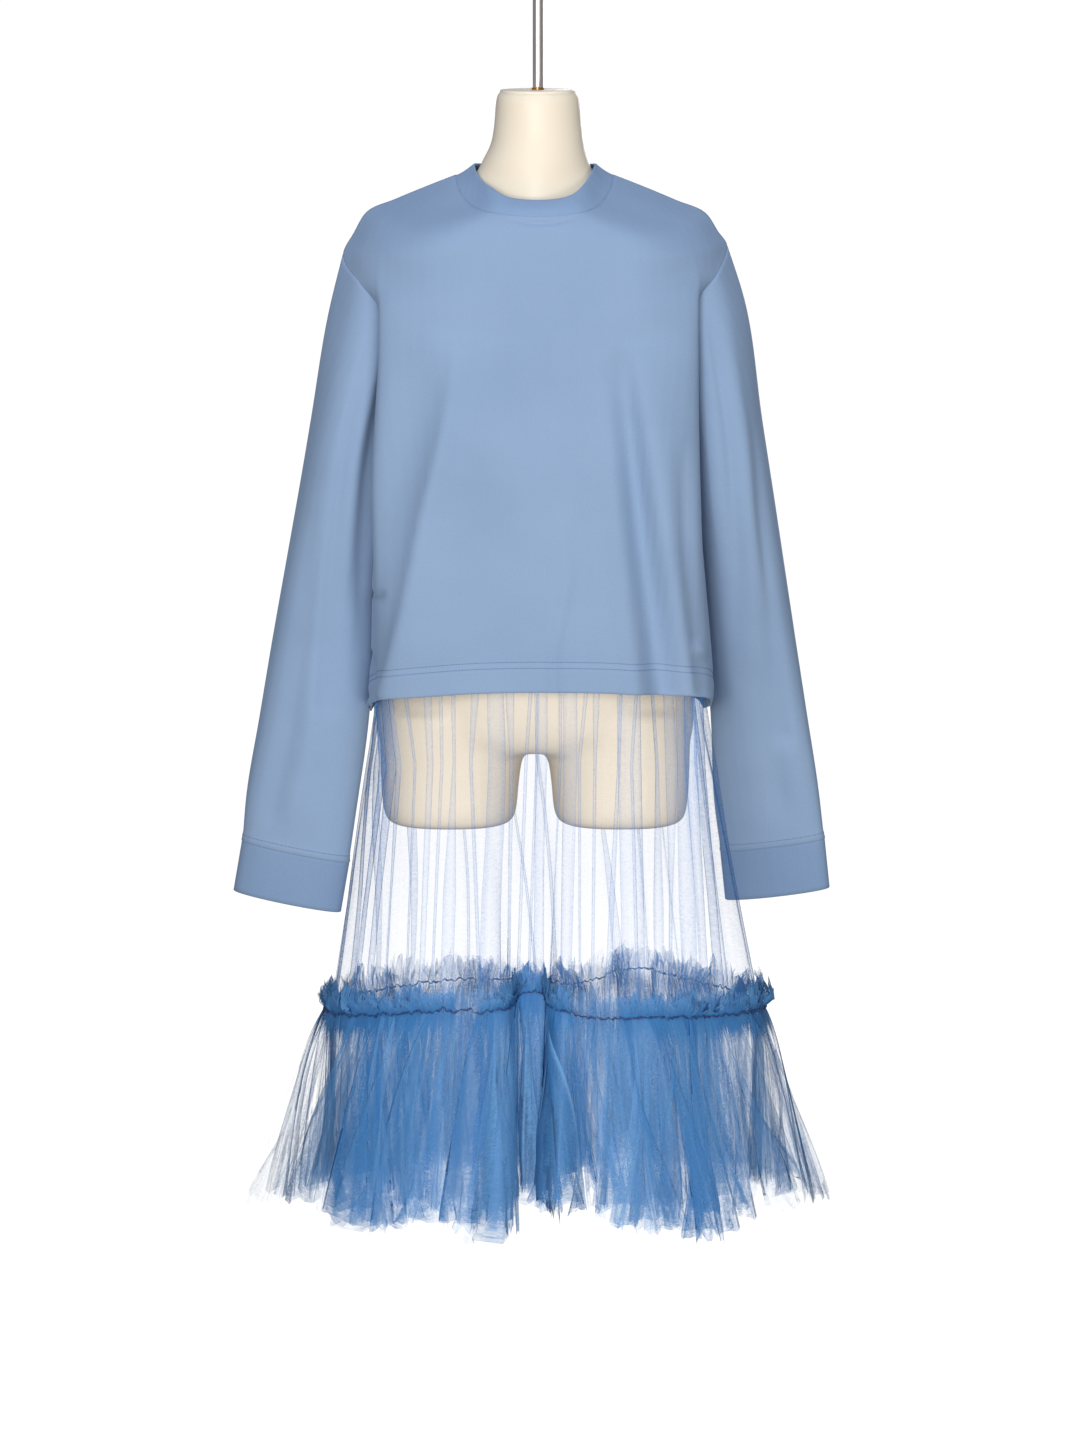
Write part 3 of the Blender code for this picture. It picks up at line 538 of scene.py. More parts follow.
def side_net(table, back):
    """Control points of half a panel, centre first: mid, a point between, fold, turn and edge."""
    net = []
    for row, line in enumerate(table):
        z_mid, y_mid, fold_x, fold_y, turn_x, turn_y, edge_x, edge_y, edge_z = line
        if back:
            z_mid, y_mid, fold, fold_y, turn, turn_y = BACK[row]
            side = math.copysign(1.0, edge_x)
            fold_x, turn_x = side * fold, side * turn
            edge_y = -edge_y if ARMHOLE[0] < row < ARMHOLE[1] else edge_y
        between = (MID_X * fold_x, y_mid + MID_Y * (fold_y - y_mid))
        places = ((0.0, y_mid), between, (fold_x, fold_y), (turn_x, turn_y), (edge_x, edge_y))
        heights = z_mid + (edge_z - z_mid) * np.array(HEIGHT_SHARE)
        net.append([(x, y, z) for (x, y), z in zip(places, heights)])
    return np.array(net)


def panel(back):
    """A whole panel, hem first, from the wearer's right edge to the left edge."""
    right = side_net(FRONT_RIGHT, back)
    left = side_net(FRONT_LEFT, back)
    grid = refine(np.concatenate([right[:, ::-1], left[:, 1:]], axis=1), ROW_PARTS, COLUMN_PARTS)
    for _ in range(SMOOTHING):
        inner = grid[1:-1, 1:-1]
        around = grid[:-2, 1:-1] + grid[2:, 1:-1] + grid[1:-1, :-2] + grid[1:-1, 2:]
        grid[1:-1, 1:-1] = inner * 0.5 + around * 0.125
    return grid


def normals(grid, wrap):
    """Unit normals of a grid of points; a wrapped grid is a tube."""
    if wrap:
        ring = np.concatenate([grid[:, -1:], grid, grid[:, :1]], axis=1)
        across = ring[:, 2:] - ring[:, :-2]
    else:
        across = np.gradient(grid, axis=1)
    along = np.gradient(grid, axis=0)
    direction = np.cross(across, along)
    return direction / np.linalg.norm(direction, axis=2, keepdims=True)


def unit(vectors):
    """The vectors, each of length one."""
    return vectors / np.linalg.norm(vectors, axis=-1, keepdims=True)


def square_to(tangent, normal, outward):
    """Unit directions that lie in the cloth, square to its edge, on the outward side."""
    way = unit(np.cross(tangent, normal))
    return way * np.sign((way * outward).sum(axis=1, keepdims=True))


def trimmed(grid, guide, normal):
    """The grid with its side edges drawn in by half a seam gap, square to the guide's edges."""
    grid = grid.copy()
    for edge, inward in ((0, 1), (-1, -2)):
        tangent = np.gradient(guide[:, edge], axis=0)
        way = square_to(tangent, normal[:, edge], guide[:, edge] - guide[:, inward])
        grid[:, edge] -= way * SEAM_GAP / 2.0
    return grid


def fold_heights(across, down, folds):
    """Height of the folds at points of the cloth; each fold swells and dies along its smooth course."""
    total = np.zeros_like(across)
    for height, reach_right, reach_left, course in folds:
        course = np.array(course, dtype=float)
        knots = chord_knots(course)
        fine_course = spline(course, knots, np.linspace(0.0, knots[-1], FOLD_STEPS), steady=False)
        best = np.full(across.shape, 1e9)
        side = np.zeros_like(across)
        walked = np.zeros_like(across)
        for i, (start, end) in enumerate(zip(fine_course[:-1], fine_course[1:])):
            step = end - start
            share = ((across - start[0]) * step[0] + (down - start[1]) * step[1]) / (step @ step)
            share = np.clip(share, 0.0, 1.0)
            off_x = across - start[0] - share * step[0]
            off_z = down - start[1] - share * step[1]
            distance = np.hypot(off_x, off_z)
            nearer = distance < best
            best = np.where(nearer, distance, best)
            side = np.where(nearer, step[0] * off_z - step[1] * off_x, side)
            walked = np.where(nearer, (i + share) / (len(fine_course) - 1), walked)
        reach = np.where(side > 0.0, reach_left, reach_right)
        runs_off = course[-1][1] <= HEM_END
        swell = np.sin(np.pi * np.clip(walked, 0.0, 0.5 if runs_off else 1.0)) ** 0.8
        total += height * swell * np.exp(-(best / reach) ** 2)
    return total


def seam_fade(grid):
    """One inside the panel and nothing at its side and top edges; and the way up the cloth from the hem."""
    step = np.linalg.norm(np.diff(grid, axis=1), axis=2)
    from_right = np.concatenate([np.zeros((len(grid), 1)), np.cumsum(step, axis=1)], axis=1)
    from_side = np.minimum(from_right, from_right[:, -1:] - from_right)
    rise = np.linalg.norm(np.diff(grid, axis=0), axis=2)
    from_hem = np.concatenate([np.zeros((1, grid.shape[1])), np.cumsum(rise, axis=0)])
    from_neck = from_hem[-1:] - from_hem
    ease = np.clip(np.minimum(from_side, from_neck * 3.0) / EDGE_FADE, 0.0, 1.0)
    return ease * ease * (3.0 - 2.0 * ease), from_hem


def cloth_uv(grid, wrap):
    """UV coordinates in metres of cloth: across along each row and up along each column."""
    ring = np.concatenate([grid, grid[:, :1]], axis=1) if wrap else grid
    step = np.linalg.norm(np.diff(ring, axis=1), axis=2)
    u = np.concatenate([np.zeros((len(ring), 1)), np.cumsum(step, axis=1)], axis=1)
    u = u - u[:, -1:] / 2.0
    rise = np.linalg.norm(np.diff(ring, axis=0), axis=2)
    v = np.concatenate([np.zeros((1, ring.shape[1])), np.cumsum(rise, axis=0)])
    return np.stack([u, v], axis=2) * MM


def cloth_mesh(name, points, faces, corners, material, flat_uv):
    """A smooth mesh with a UV map; corners index the UV array for each face."""
    piece = new_object(name, points, faces, material)
    layer = piece.data.uv_layers.new(name="cloth")
    order = np.concatenate([np.asarray(c) for c in corners])
    layer.data.foreach_set("uv", flat_uv[order].astype("f").ravel())
    return piece


def squares(rows, columns, wide):
    """Corners of each square of a grid of points, and on its UV map, which may have one more column."""
    r, c = np.meshgrid(np.arange(rows - 1), np.arange(wide - 1), indexing="ij")
    square = np.stack([np.stack([r, c], -1), np.stack([r, c + 1], -1), np.stack([r + 1, c + 1], -1),
                       np.stack([r + 1, c], -1)], axis=2).reshape(-1, 4, 2)
    return square[..., 0] * columns + square[..., 1] % columns, square[..., 0] * wide + square[..., 1]


def wall(name, outer, inner, outward, wrap, material):
    """A closed wall of cloth between two grids, with rounded rims; a wrapped grid is an open tube."""
    rows, columns = outer.shape[:2]
    uv = cloth_uv(outer, wrap)
    wide = uv.shape[1]
    inside = rows * columns
    place, on_uv = squares(rows, columns, wide)
    first = [(0, i) for i in range(wide)]
    last = [(rows - 1, i) for i in range(wide - 1, -1, -1)]
    if wrap:
        loops = [first, last]
    else:
        up = [(i, wide - 1) for i in range(1, rows)]
        down = [(i, 0) for i in range(rows - 2, 0, -1)]
        loops = [first + up + last[1:] + down + [(0, 0)]]
    points = [outer.reshape(-1, 3), inner.reshape(-1, 3)]
    faces = place.tolist()
    faces += (place[:, ::-1] + inside).tolist()
    corners = on_uv.tolist() + on_uv[:, ::-1].tolist()
    rim = 2 * inside
    for loop in loops:
        run = loop[:-1]
        at = np.array([row * columns + col % columns for row, col in run])
        near_row = np.clip([row for row, col in run], 1, rows - 2)
        near_col = [col % columns if wrap else min(max(col, 1), columns - 2) for row, col in run]
        way = unit(outer.reshape(-1, 3)[at] - outer[near_row, near_col])
        middle = (points[0][at] + points[1][at]) / 2.0
        thick = np.linalg.norm(points[0][at] - points[1][at], axis=1, keepdims=True)
        points.append(middle + way * thick * 0.4)
        count = len(run)
        for i in range(count):
            j = (i + 1) % count
            uv_i = loop[i][0] * wide + loop[i][1]
            uv_j = loop[i + 1][0] * wide + loop[i + 1][1]
            faces.append([at[j], at[i], rim + i, rim + j])
            faces.append([rim + j, rim + i, at[i] + inside, at[j] + inside])
            corners += [[uv_j, uv_i, uv_i, uv_j]] * 2
        rim += count
    if (normals(outer, wrap) * outward).sum() < 0.0:
        faces = [face[::-1] for face in faces]
        corners = [corner[::-1] for corner in corners]
    return cloth_mesh(name, np.concatenate(points), faces, corners, material, uv.reshape(-1, 2))


def knitted(name, light, shade, rib_pitch, rib_height, rough):
    """Cotton knit: matt, a little heathered, with faint wales along v and a nap that lightens its edges."""
    material, tree, shader = blank_material(name)
    cloth = add_node(tree, "ShaderNodeUVMap", uv_map="cloth")
    place = add_node(tree, "ShaderNodeTexCoord")
    # the dye's clouds, 11 cm across, and the heather of light and dark fibres, drawn 2 mm across
    cloud = add_node(tree, "ShaderNodeTexNoise", {"Vector": place.outputs["Object"], "Scale": 9.0,
                                                  "Detail": 3.0})
    heather = add_node(tree, "ShaderNodeTexNoise", {"Vector": cloth.outputs["UV"], "Scale": 520.0,
                                                    "Detail": 3.0, "Roughness": 0.7})
    mixed = add_node(tree, "ShaderNodeMath", {0: cloud.outputs["Fac"], 1: heather.outputs["Fac"]},
                     operation="ADD")
    spread = add_node(tree, "ShaderNodeMapRange", {"Value": mixed.outputs[0], "From Min": 0.7,
                                                   "From Max": 1.3})
    tone = add_node(tree, "ShaderNodeMix", {"Factor": spread.outputs["Result"], "A": linear(shade),
                                            "B": linear(light)}, data_type="RGBA")
    tree.links.new(tone.outputs["Result"], shader.inputs["Base Color"])
    # wales are 0.7 mm apart in this jersey, which is finer than the picture shows: they are drawn coarser
    wales = add_node(tree, "ShaderNodeTexWave", {"Vector": cloth.outputs["UV"], "Scale": 0.05 / rib_pitch,
                                                 "Distortion": 1.2, "Detail": 1.0, "Detail Scale": 40.0})
    # the nap's tufts, about 1 mm
    fuzz = add_node(tree, "ShaderNodeTexNoise", {"Vector": place.outputs["Object"], "Scale": 900.0,
                                                 "Detail": 2.0})
    relief = add_node(tree, "ShaderNodeMath", {0: wales.outputs["Fac"], 1: fuzz.outputs["Fac"]},
                      operation="ADD")
    bump = add_node(tree, "ShaderNodeBump", {"Height": relief.outputs[0], "Distance": rib_height,
                                             "Strength": 0.6})
    tree.links.new(bump.outputs["Normal"], shader.inputs["Normal"])
    shader.inputs["Roughness"].default_value = rough
    shader.inputs["Specular IOR Level"].default_value = 0.15
    shader.inputs["Sheen Weight"].default_value = 0.22
    shader.inputs["Sheen Roughness"].default_value = 0.45
    shader.inputs["Sheen Tint"].default_value = linear("#BFD2EE")
    return material


jersey = knitted("cotton_jersey", light="#8AA1BF", shade="#8198B6", rib_pitch=0.0022, rib_height=0.00012,
                 rough=0.92)
front, back = panel(False), panel(True)
armhole_rows = [sum(ROW_PARTS[:section]) for section in ARMHOLE]
sewn = [row for row in range(len(front)) if not armhole_rows[0] < row < armhole_rows[1]]
for edge in (0, -1):
    back[sewn, edge] = front[sewn, edge]
front_normal, back_normal = normals(front, False), -normals(back, False)
hem_heights = []
for grid, normal, folds in ((front, front_normal, FRONT_FOLDS), (back, back_normal, BACK_FOLDS)):
    fade, from_hem = seam_fade(grid)
    hem_heights.append(from_hem)
    height = fold_heights(grid[..., 0], grid[..., 2], folds) * FOLD_STRENGTH * fade
    below = np.clip((HEM_DEPTH - 3.0 - from_hem) / 2.0, 0.0, 1.0) * HEM_STEP
    needle_rows = [((from_hem - HEM_DEPTH + drop) / NEEDLE_REACH) ** 2 for drop in (0.0, TWIN_ROWS)]
    drawn_in = sum(np.exp(-row) for row in needle_rows) * NEEDLE_DIP
    grid += normal * (height + (below - drawn_in) * np.clip(fade * 4.0, 0.0, 1.0))[..., None]
front_normal, back_normal = normals(front, False), -normals(back, False)
for row in sewn:
    for edge in (0, -1):
        shared = unit(front_normal[row, edge] + back_normal[row, edge])
        front_normal[row, edge] = shared
        back_normal[row, edge] = shared
front_in, back_in = front - front_normal * JERSEY, back - back_normal * JERSEY
for name, node, outer, inner, normal in (("top_front", "body_front", front, front_in, front_normal),
                                         ("top_back", "body_back", back, back_in, back_normal)):
    piece = wall(name, trimmed(outer, outer, normal), trimmed(inner, outer, normal), normal, False, jersey)
    fasten(piece, "jersey", node)

# ------------------------------------------------------------------------------------------------------------
# The neckband.
# A 22 mm band of the same jersey, folded double and sewn into the neck. It is a little shorter than the
# opening, so it draws in and stands up.
# ------------------------------------------------------------------------------------------------------------
DOUBLED = 2.0
CURVED_GAP = 0.5                 # at a curved seam
NECKBAND = 22.0
BAND_LEAN = (0.80, 0.60)         # inward and up
BAND_COURSE = ((0.35, 0.35), (0.7, 0.6), (1.0, 0.75))    # share of the height, share of the lean
BAND_RINGS = 14
BAND_EASES = 8                   # passes that even out its rings
CORNER_X = 50.0                  # the opening is round: its two lower corners stand a little higher
CORNER_REACH = 15.0
CORNER_LIFT = 7.0

# folded double, the jersey is stretched a little, so its wales show more
neck_rib = knitted("neck_jersey", light="#859DBD", shade="#7D95B5", rib_pitch=0.0026, rib_height=0.00016,
                   rough=0.93)
seam = np.concatenate([front[-1, :-1], back[-1, ::-1][:-1]])
below = np.concatenate([front[-2, :-1], back[-2, ::-1][:-1]])
outward = np.concatenate([front_normal[-1, :-1], back_normal[-1, ::-1][:-1]])
rise = square_to(np.roll(seam, -1, axis=0) - np.roll(seam, 1, axis=0), outward, seam - below)
inward = (seam.mean(axis=0) - seam) * np.array((1.0, 1.0, 0.0))
lean = unit(inward) * BAND_LEAN[0] + np.array((0.0, 0.0, 1.0)) * BAND_LEAN[1]
start = seam + rise * CURVED_GAP
rings = [start]
for share, bend in BAND_COURSE:
    rings.append(start + unit(rise * (1.0 - bend) + lean * bend) * NECKBAND * share)
rings = np.array(rings)
knots = chord_knots(rings)
band = spline(rings, knots, np.linspace(0.0, knots[-1], BAND_RINGS))
for _ in range(BAND_EASES):
    band[1:] = band[1:] * 0.5 + (np.roll(band[1:], 1, axis=1) + np.roll(band[1:], -1, axis=1)) * 0.25
corner = np.exp(-((np.abs(band[..., 0]) - CORNER_X) / CORNER_REACH) ** 2)
corner = corner * np.clip(-band[..., 1] / 20.0, 0.0, 1.0)
band[..., 2] += CORNER_LIFT * corner * np.linspace(0.0, 1.0, len(band))[:, None]
band_normal = normals(band, True)
if (band_normal[0] * outward).sum() < 0.0:
    band_normal = -band_normal
band_normal[0] = outward
piece = wall("neckband", band, band - band_normal * DOUBLED, band_normal, True, neck_rib)
fasten(piece, "jersey_doubled", "neck_rib")

# ------------------------------------------------------------------------------------------------------------
# The sleeves and cuffs.
# Each sleeve is one piece of the jersey, set into a dropped armhole and seamed under the arm. It hangs free
# and flattens towards a 52 mm cuff of doubled jersey, whose seam is turned up and topstitched as a low ledge.
# ------------------------------------------------------------------------------------------------------------
# a row per level: z, outer and inner edge, middle and half depth, rise and swing to the outer edge
SLEEVE_RIGHT = (
    (-300, -201, -132, 0, 44, 0, 0),
    (-356, -215, -142, 0, 53, 0, 0),
    (-470, -235, -155, 0, 60, 0, 0),
    (-540, -247, -160, -2, 60, 1, 0),
    (-620, -261, -166.5, -5, 54, 3, 0),
    (-700, -275, -169.5, -12, 47, 5, 3),
    (-785, -289, -176.5, -22, 39, 7, 6),
    (-870, -303, -189, -30, 30, 9, 8),
    (-917, -307, -196, -32, 25, 10, 9),
)
SLEEVE_LEFT = (
    (-292, 195, 130, 0, 44, 0, 0),
    (-341, 211, 140, 0, 53, 0, 0),
    (-470, 232, 154, 2, 60, 0, 0),
    (-540, 243, 157, 6, 60, 1, -3),
    (-620, 255, 167, 14, 54, 3, -8),
    (-700, 267, 174, 26, 46, 5, -14),
    (-785, 280, 181, 40, 38, 7, -20),
    (-870, 293, 185, 52, 29, 9, -25),
    (-922, 299, 192, 56, 24, 10, -26),
)
CUFF_SHIFT = {"right": (-9.0, 0.0), "left": (5.5, 3.0)}
CUFF_LENGTH = 52.0
FULL_LEVEL = 3                   # the level from which the sleeve follows its own table alone
UPPER_RINGS = 48
LOWER_RINGS = 74
CUFF_RINGS = 14
LEDGE = 5.0                      # height of the topstitched ledge above the cuff
LEDGE_STEP = 1.2
SLEEVE_STRENGTH = 1.5            # all folds of the sleeves are this much taller than listed
SLEEVE_FADE = 60.0               # a fold dies out this far above the cuff, mm
ALONG_ROW = 6                    # the way from the armhole to this ring sets the way of the gap at the seam
# folds of a sleeve: height, the reaches to both sides, then its course, by z and the turn in degrees from the
# outer edge towards the front
SLEEVE_FOLDS = {
    "right": (
        (-3.0, 8.0, 16.0, ((88, -330), (86, -400), (88, -520), (92, -640), (96, -760))),
        (2.6, 16.0, 10.0, ((104, -340), (103, -420), (106, -560), (112, -660))),
        (-4.0, 14.0, 14.0, ((128, -370), (130, -460), (134, -600), (140, -720))),
        (3.0, 12.0, 14.0, ((150, -420), (152, -540), (156, -660))),
        (-2.5, 16.0, 16.0, ((60, -560), (64, -680), (66, -800), (60, -880))),
        (2.0, 14.0, 14.0, ((84, -700), (86, -800), (80, -890))),
        (-3.5, 16.0, 16.0, ((222, -340), (226, -460), (230, -620))),
        (3.0, 16.0, 16.0, ((264, -360), (260, -520), (262, -700))),
        (-3.0, 16.0, 16.0, ((292, -380), (290, -520), (284, -700), (280, -860))),
    ),
    "left": (
        (-3.0, 16.0, 8.0, ((70, -320), (78, -400), (88, -520), (98, -640), (104, -700))),
        (2.6, 10.0, 16.0, ((54, -360), (58, -450), (66, -560), (70, -680))),
        (-3.0, 12.0, 14.0, ((40, -470), (52, -560), (60, -680), (64, -800))),
        (2.4, 14.0, 14.0, ((112, -420), (114, -540), (118, -640))),
        (-2.2, 14.0, 14.0, ((84, -720), (82, -800), (74, -890))),
        (-3.0, 16.0, 16.0, ((228, -350), (232, -470), (236, -640))),
        (3.0, 16.0, 16.0, ((262, -380), (264, -540), (260, -720))),
        (-3.0, 16.0, 16.0, ((296, -360), (292, -500), (288, -680), (284, -850))),
    ),
}


def sleeve_points(table, z, turn):
    """Points of the sleeve at levels z, turned from its outer edge towards the front."""
    values = np.array(table, dtype=float)[::-1]
    shaped = spline(values, values[:, 0], z.ravel())
    _, outer, inner, mid_y, half_y, lift, swing = [part.reshape(z.shape) for part in shaped.T]
    half = (outer - inner) / 2.0
    c, s = np.cos(turn), np.sin(turn)
    return np.stack([(outer + inner) / 2.0 + half * c, mid_y + swing * c - half_y * s, z + lift * c], axis=-1)


def sleeve_grid(table, loop, shift):
    """Rings of the sleeve, the armhole's edge first, moved off that edge by the shift."""
    full, seam_level = table[FULL_LEVEL][0], table[-1][0]
    turn = 2.0 * np.pi * np.arange(len(loop)) / len(loop)
    top = loop + shift
    from_start = top - sleeve_points(table, top[:, 2], turn)
    rings = []
    for share in np.linspace(0.0, 1.0, UPPER_RINGS + 1):
        fade = (1.0 - share) ** 2 * (1.0 + 2.0 * share)
        rings.append(sleeve_points(table, top[:, 2] + (full - top[:, 2]) * share, turn) + from_start * fade)
    for share in np.linspace(0.0, 1.0, LOWER_RINGS + 1)[1:]:
        rings.append(sleeve_points(table, np.full(len(loop), full + (seam_level - full) * share), turn))
    return np.array(rings)


def armhole_loop(front_edge, back_edge):
    """What the panels' edges hold, from the shoulder point down the front to the underarm and up the back."""
    first, last = armhole_rows
    return np.concatenate([front_edge[last:first - 1:-1], back_edge[first + 1:last]])


def tube_normals(grid):
    """Outward normals of a tube of rings."""
    direction = normals(grid, True)
    if (direction * (grid - grid.mean(axis=1, keepdims=True))).sum() < 0.0:
        direction = -direction
    return direction


# the same band as at the neck, a shade darker: painted shade, for the cuffs are the same jersey
doubled = knitted("doubled_jersey_painted_shade", light="#7E96B6", shade="#748CAD", rib_pitch=0.0026, rib_height=0.00016,
                  rough=0.93)
cuff_edges = {}
for side, table in (("right", SLEEVE_RIGHT), ("left", SLEEVE_LEFT)):
    edge, inward = (0, 1) if side == "right" else (-1, -2)
    loop = armhole_loop(front[:, edge], back[:, edge])
    beside = armhole_loop(front[:, inward], back[:, inward])
    underarm, shoulder = armhole_rows
    beside[0] = front[shoulder + 1, edge]
    beside[shoulder - underarm] = front[underarm - 1, edge]
    normal = armhole_loop(front_normal[:, edge], back_normal[:, edge])
    grid = sleeve_grid(table, loop, np.zeros_like(loop))
    along = unit(grid[ALONG_ROW] - grid[0])
    grid = sleeve_grid(table, loop, unit(along + normal) * CURVED_GAP)
    outward = tube_normals(grid)
    turn = np.degrees(2.0 * np.pi * np.arange(len(loop)) / len(loop)) * np.ones((len(grid), 1))
    girth = np.linalg.norm(np.diff(grid, axis=1), axis=2).sum(axis=1).mean()
    folds = [(height, right, left, [(degrees / 360.0 * girth, z) for degrees, z in course])
             for height, right, left, course in SLEEVE_FOLDS[side]]
    height = fold_heights(turn / 360.0 * girth, grid[..., 2], folds) * SLEEVE_STRENGTH
    from_top = np.arange(len(grid))[:, None] / UPPER_RINGS
    to_cuff = np.linalg.norm(grid - grid[-1], axis=2)
    ease = np.clip(from_top * 3.0, 0.0, 1.0) * np.clip(to_cuff / SLEEVE_FADE, 0.0, 1.0)
    ledge = np.clip((LEDGE + 0.4 - to_cuff) / 0.8, 0.0, 1.0) * LEDGE_STEP
    grid = grid + outward * (height * ease * ease * (3.0 - 2.0 * ease) + ledge)[..., None]
    outward = tube_normals(grid)
    tangent = np.roll(loop, -1, axis=0) - np.roll(loop, 1, axis=0)
    straight = (square_to(tangent, normal, loop - beside) * along).sum(axis=1, keepdims=True)
    share = np.clip(0.5 + straight, 0.0, 1.0)
    outward[0] = unit(normal * share + outward[0] * (1.0 - share))
    cuff_edges[side] = (grid, outward, to_cuff)
    piece = wall("sleeve_" + side + "_cloth", grid, grid - outward * JERSEY, outward, True, jersey)
    fasten(piece, "jersey", "sleeve_" + side)

    shift = np.array((CUFF_SHIFT[side] + (0.0,)))
    drop = np.array((0.0, 0.0, -1.0))
    top = grid[-1] - outward[-1] * LEDGE_STEP * 0.5 + drop * SEAM_GAP
    down = np.linspace(0.0, 1.0, CUFF_RINGS)
    cuff = np.array([top + (drop * CUFF_LENGTH + shift) * share for share in down])
    outward = tube_normals(cuff)
    piece = wall("cuff_" + side + "_cloth", cuff, cuff - outward * DOUBLED, outward, True, doubled)
    fasten(piece, "jersey_doubled", "cuff_" + side)

# ------------------------------------------------------------------------------------------------------------
# The stitching.
# Polyester sewing thread a shade darker than the jersey: a twin-needle row round the hem and a single row on
# the ledge above each cuff, 3 mm to a stitch.
# ------------------------------------------------------------------------------------------------------------
STITCH_PITCH = 3.0
STITCH_LENGTH = 2.1
THREAD_WIDTH = 0.9               # drawn a little thicker than the 0.4 mm thread, so that it shows
THREAD_STANDS = 0.05             # the thread's middle lies this far above the cloth
ABOVE_LEDGE = 0.9
CUFF_ROWS = 12                   # rows of the sleeve's grid that reach up past the cuff's stitches

thread, tree, shader = blank_material("polyester_thread")
# spun and twisted: nearly matt, lighter and darker along its twist, which is drawn 0.7 mm long
place = add_node(tree, "ShaderNodeTexCoord")
twist = add_node(tree, "ShaderNodeTexNoise", {"Vector": place.outputs["Object"], "Scale": 1500.0})
tone = add_node(tree, "ShaderNodeMix", {"Factor": twist.outputs["Fac"], "A": linear("#4C6A98"),
                                        "B": linear("#5F7DAA")}, data_type="RGBA")
tree.links.new(tone.outputs["Result"], shader.inputs["Base Color"])
shader.inputs["Roughness"].default_value = 0.6

group = bpy.data.node_groups.new("run_of_stitches", "GeometryNodeTree")
group.is_modifier = True
group.interface.new_socket("Geometry", in_out="INPUT", socket_type="NodeSocketGeometry")
group.interface.new_socket("Geometry", in_out="OUTPUT", socket_type="NodeSocketGeometry")
stitch_inputs = {}
for label, kind in (("Pitch", "NodeSocketFloat"), ("Length", "NodeSocketFloat"), ("Width", "NodeSocketFloat"),
                    ("Thread", "NodeSocketMaterial")):
    stitch_inputs[label] = group.interface.new_socket(label, in_out="INPUT", socket_type=kind).identifier
given = add_node(group, "NodeGroupInput")
course = add_node(group, "GeometryNodeMeshToCurve", {"Mesh": given.outputs["Geometry"]})
spots = add_node(group, "GeometryNodeCurveToPoints", {"Curve": course.outputs["Curve"],
                                                      "Length": given.outputs["Pitch"]}, mode="LENGTH")
size = add_node(group, "ShaderNodeCombineXYZ", {"X": given.outputs["Width"], "Y": given.outputs["Width"],
                                                "Z": given.outputs["Length"]})
bead = add_node(group, "GeometryNodeMeshUVSphere", {"Segments": 6, "Rings": 5, "Radius": 0.5})
laid = add_node(group, "GeometryNodeInstanceOnPoints", {"Points": spots.outputs["Points"],
                                                        "Instance": bead.outputs["Mesh"],
                                                        "Rotation": spots.outputs["Rotation"],
                                                        "Scale": size.outputs["Vector"]})
real = add_node(group, "GeometryNodeRealizeInstances", {"Geometry": laid.outputs["Instances"]})
coated = add_node(group, "GeometryNodeSetMaterial", {"Geometry": real.outputs["Geometry"],
                                                     "Material": given.outputs["Thread"]})
add_node(group, "NodeGroupOutput", {"Geometry": coated.outputs["Geometry"]})


def at_distance(grid, normal, walked, distance):
    """The line on the cloth at a distance along its columns, lifted to the thread's middle."""
    line = []
    for col in range(grid.shape[1]):
        order = np.argsort(walked[:, col])
        along = walked[order, col]
        point = [np.interp(distance, along, grid[order, col, axis]) for axis in range(3)]
        way = [np.interp(distance, along, normal[order, col, axis]) for axis in range(3)]
        line.append(np.array(point) + np.array(way) * THREAD_STANDS)
    return np.array(line)


def sew(name, lines):
    """Runs of stitches along lines of points, as one plain mesh."""
    points = np.concatenate(lines)
    edges, first = [], 0
    for line in lines:
        edges += [(first + i, first + i + 1) for i in range(len(line) - 1)]
        first += len(line)
    mesh = bpy.data.meshes.new(name)
    mesh.from_pydata((points * MM).tolist(), edges, [])
    piece = bpy.data.objects.new(name, mesh)
    bpy.context.scene.collection.objects.link(piece)
    run = piece.modifiers.new("stitches", "NODES")
    run.node_group = group
    for label, value in (("Pitch", STITCH_PITCH * MM), ("Length", STITCH_LENGTH * MM),
                         ("Width", THREAD_WIDTH * MM), ("Thread", thread)):
        run[stitch_inputs[label]] = value
    applied(piece)
    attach(piece, "root")


hem_lines = []
for grid, normal, walked in ((front, front_normal, hem_heights[0]), (back, back_normal, hem_heights[1])):
    for drop in (0.0, TWIN_ROWS):
        hem_lines.append(at_distance(grid, normal, walked, HEM_DEPTH - drop))
sew("hem_stitches", hem_lines)
for side, (grid, normal, walked) in cuff_edges.items():
    line = at_distance(grid[-CUFF_ROWS:], normal[-CUFF_ROWS:], walked[-CUFF_ROWS:], LEDGE + ABOVE_LEDGE)
    sew("cuff_" + side + "_stitches", [np.concatenate([line, line[:1]])])

# ------------------------------------------------------------------------------------------------------------
# The tulle skirt.
# One length of fine nylon net, gathered by pushing it into small Z pleats and sewn inside the hem. It hangs
# down to the ruffle's seam. A pleat shows as a crisp line where the net turns, or as a darker band where it
# overlaps.
# ------------------------------------------------------------------------------------------------------------
# the ruffle's seam, x, y, z, from the wearer's right over the front to the left and round the back
RING = (
    (-216, 0, -1087), (-197, -56, -1085), (-152, -98, -1078), (-94, -122, -1070), (-40, -116, -1070),
    (-19, -76, -1059), (8, -74, -1059), (20, -114, -1068), (62, -134, -1076), (112, -124, -1077),
    (172, -86, -1082), (216, -42, -1084), (230, 4, -1086), (206, 66, -1082), (152, 108, -1074),
    (96, 128, -1066), (48, 124, -1081), (-8, 116, -1078), (-66, 126, -1077), (-124, 112, -1080),
    (-178, 76, -1084), (-207, 36, -1086),
)
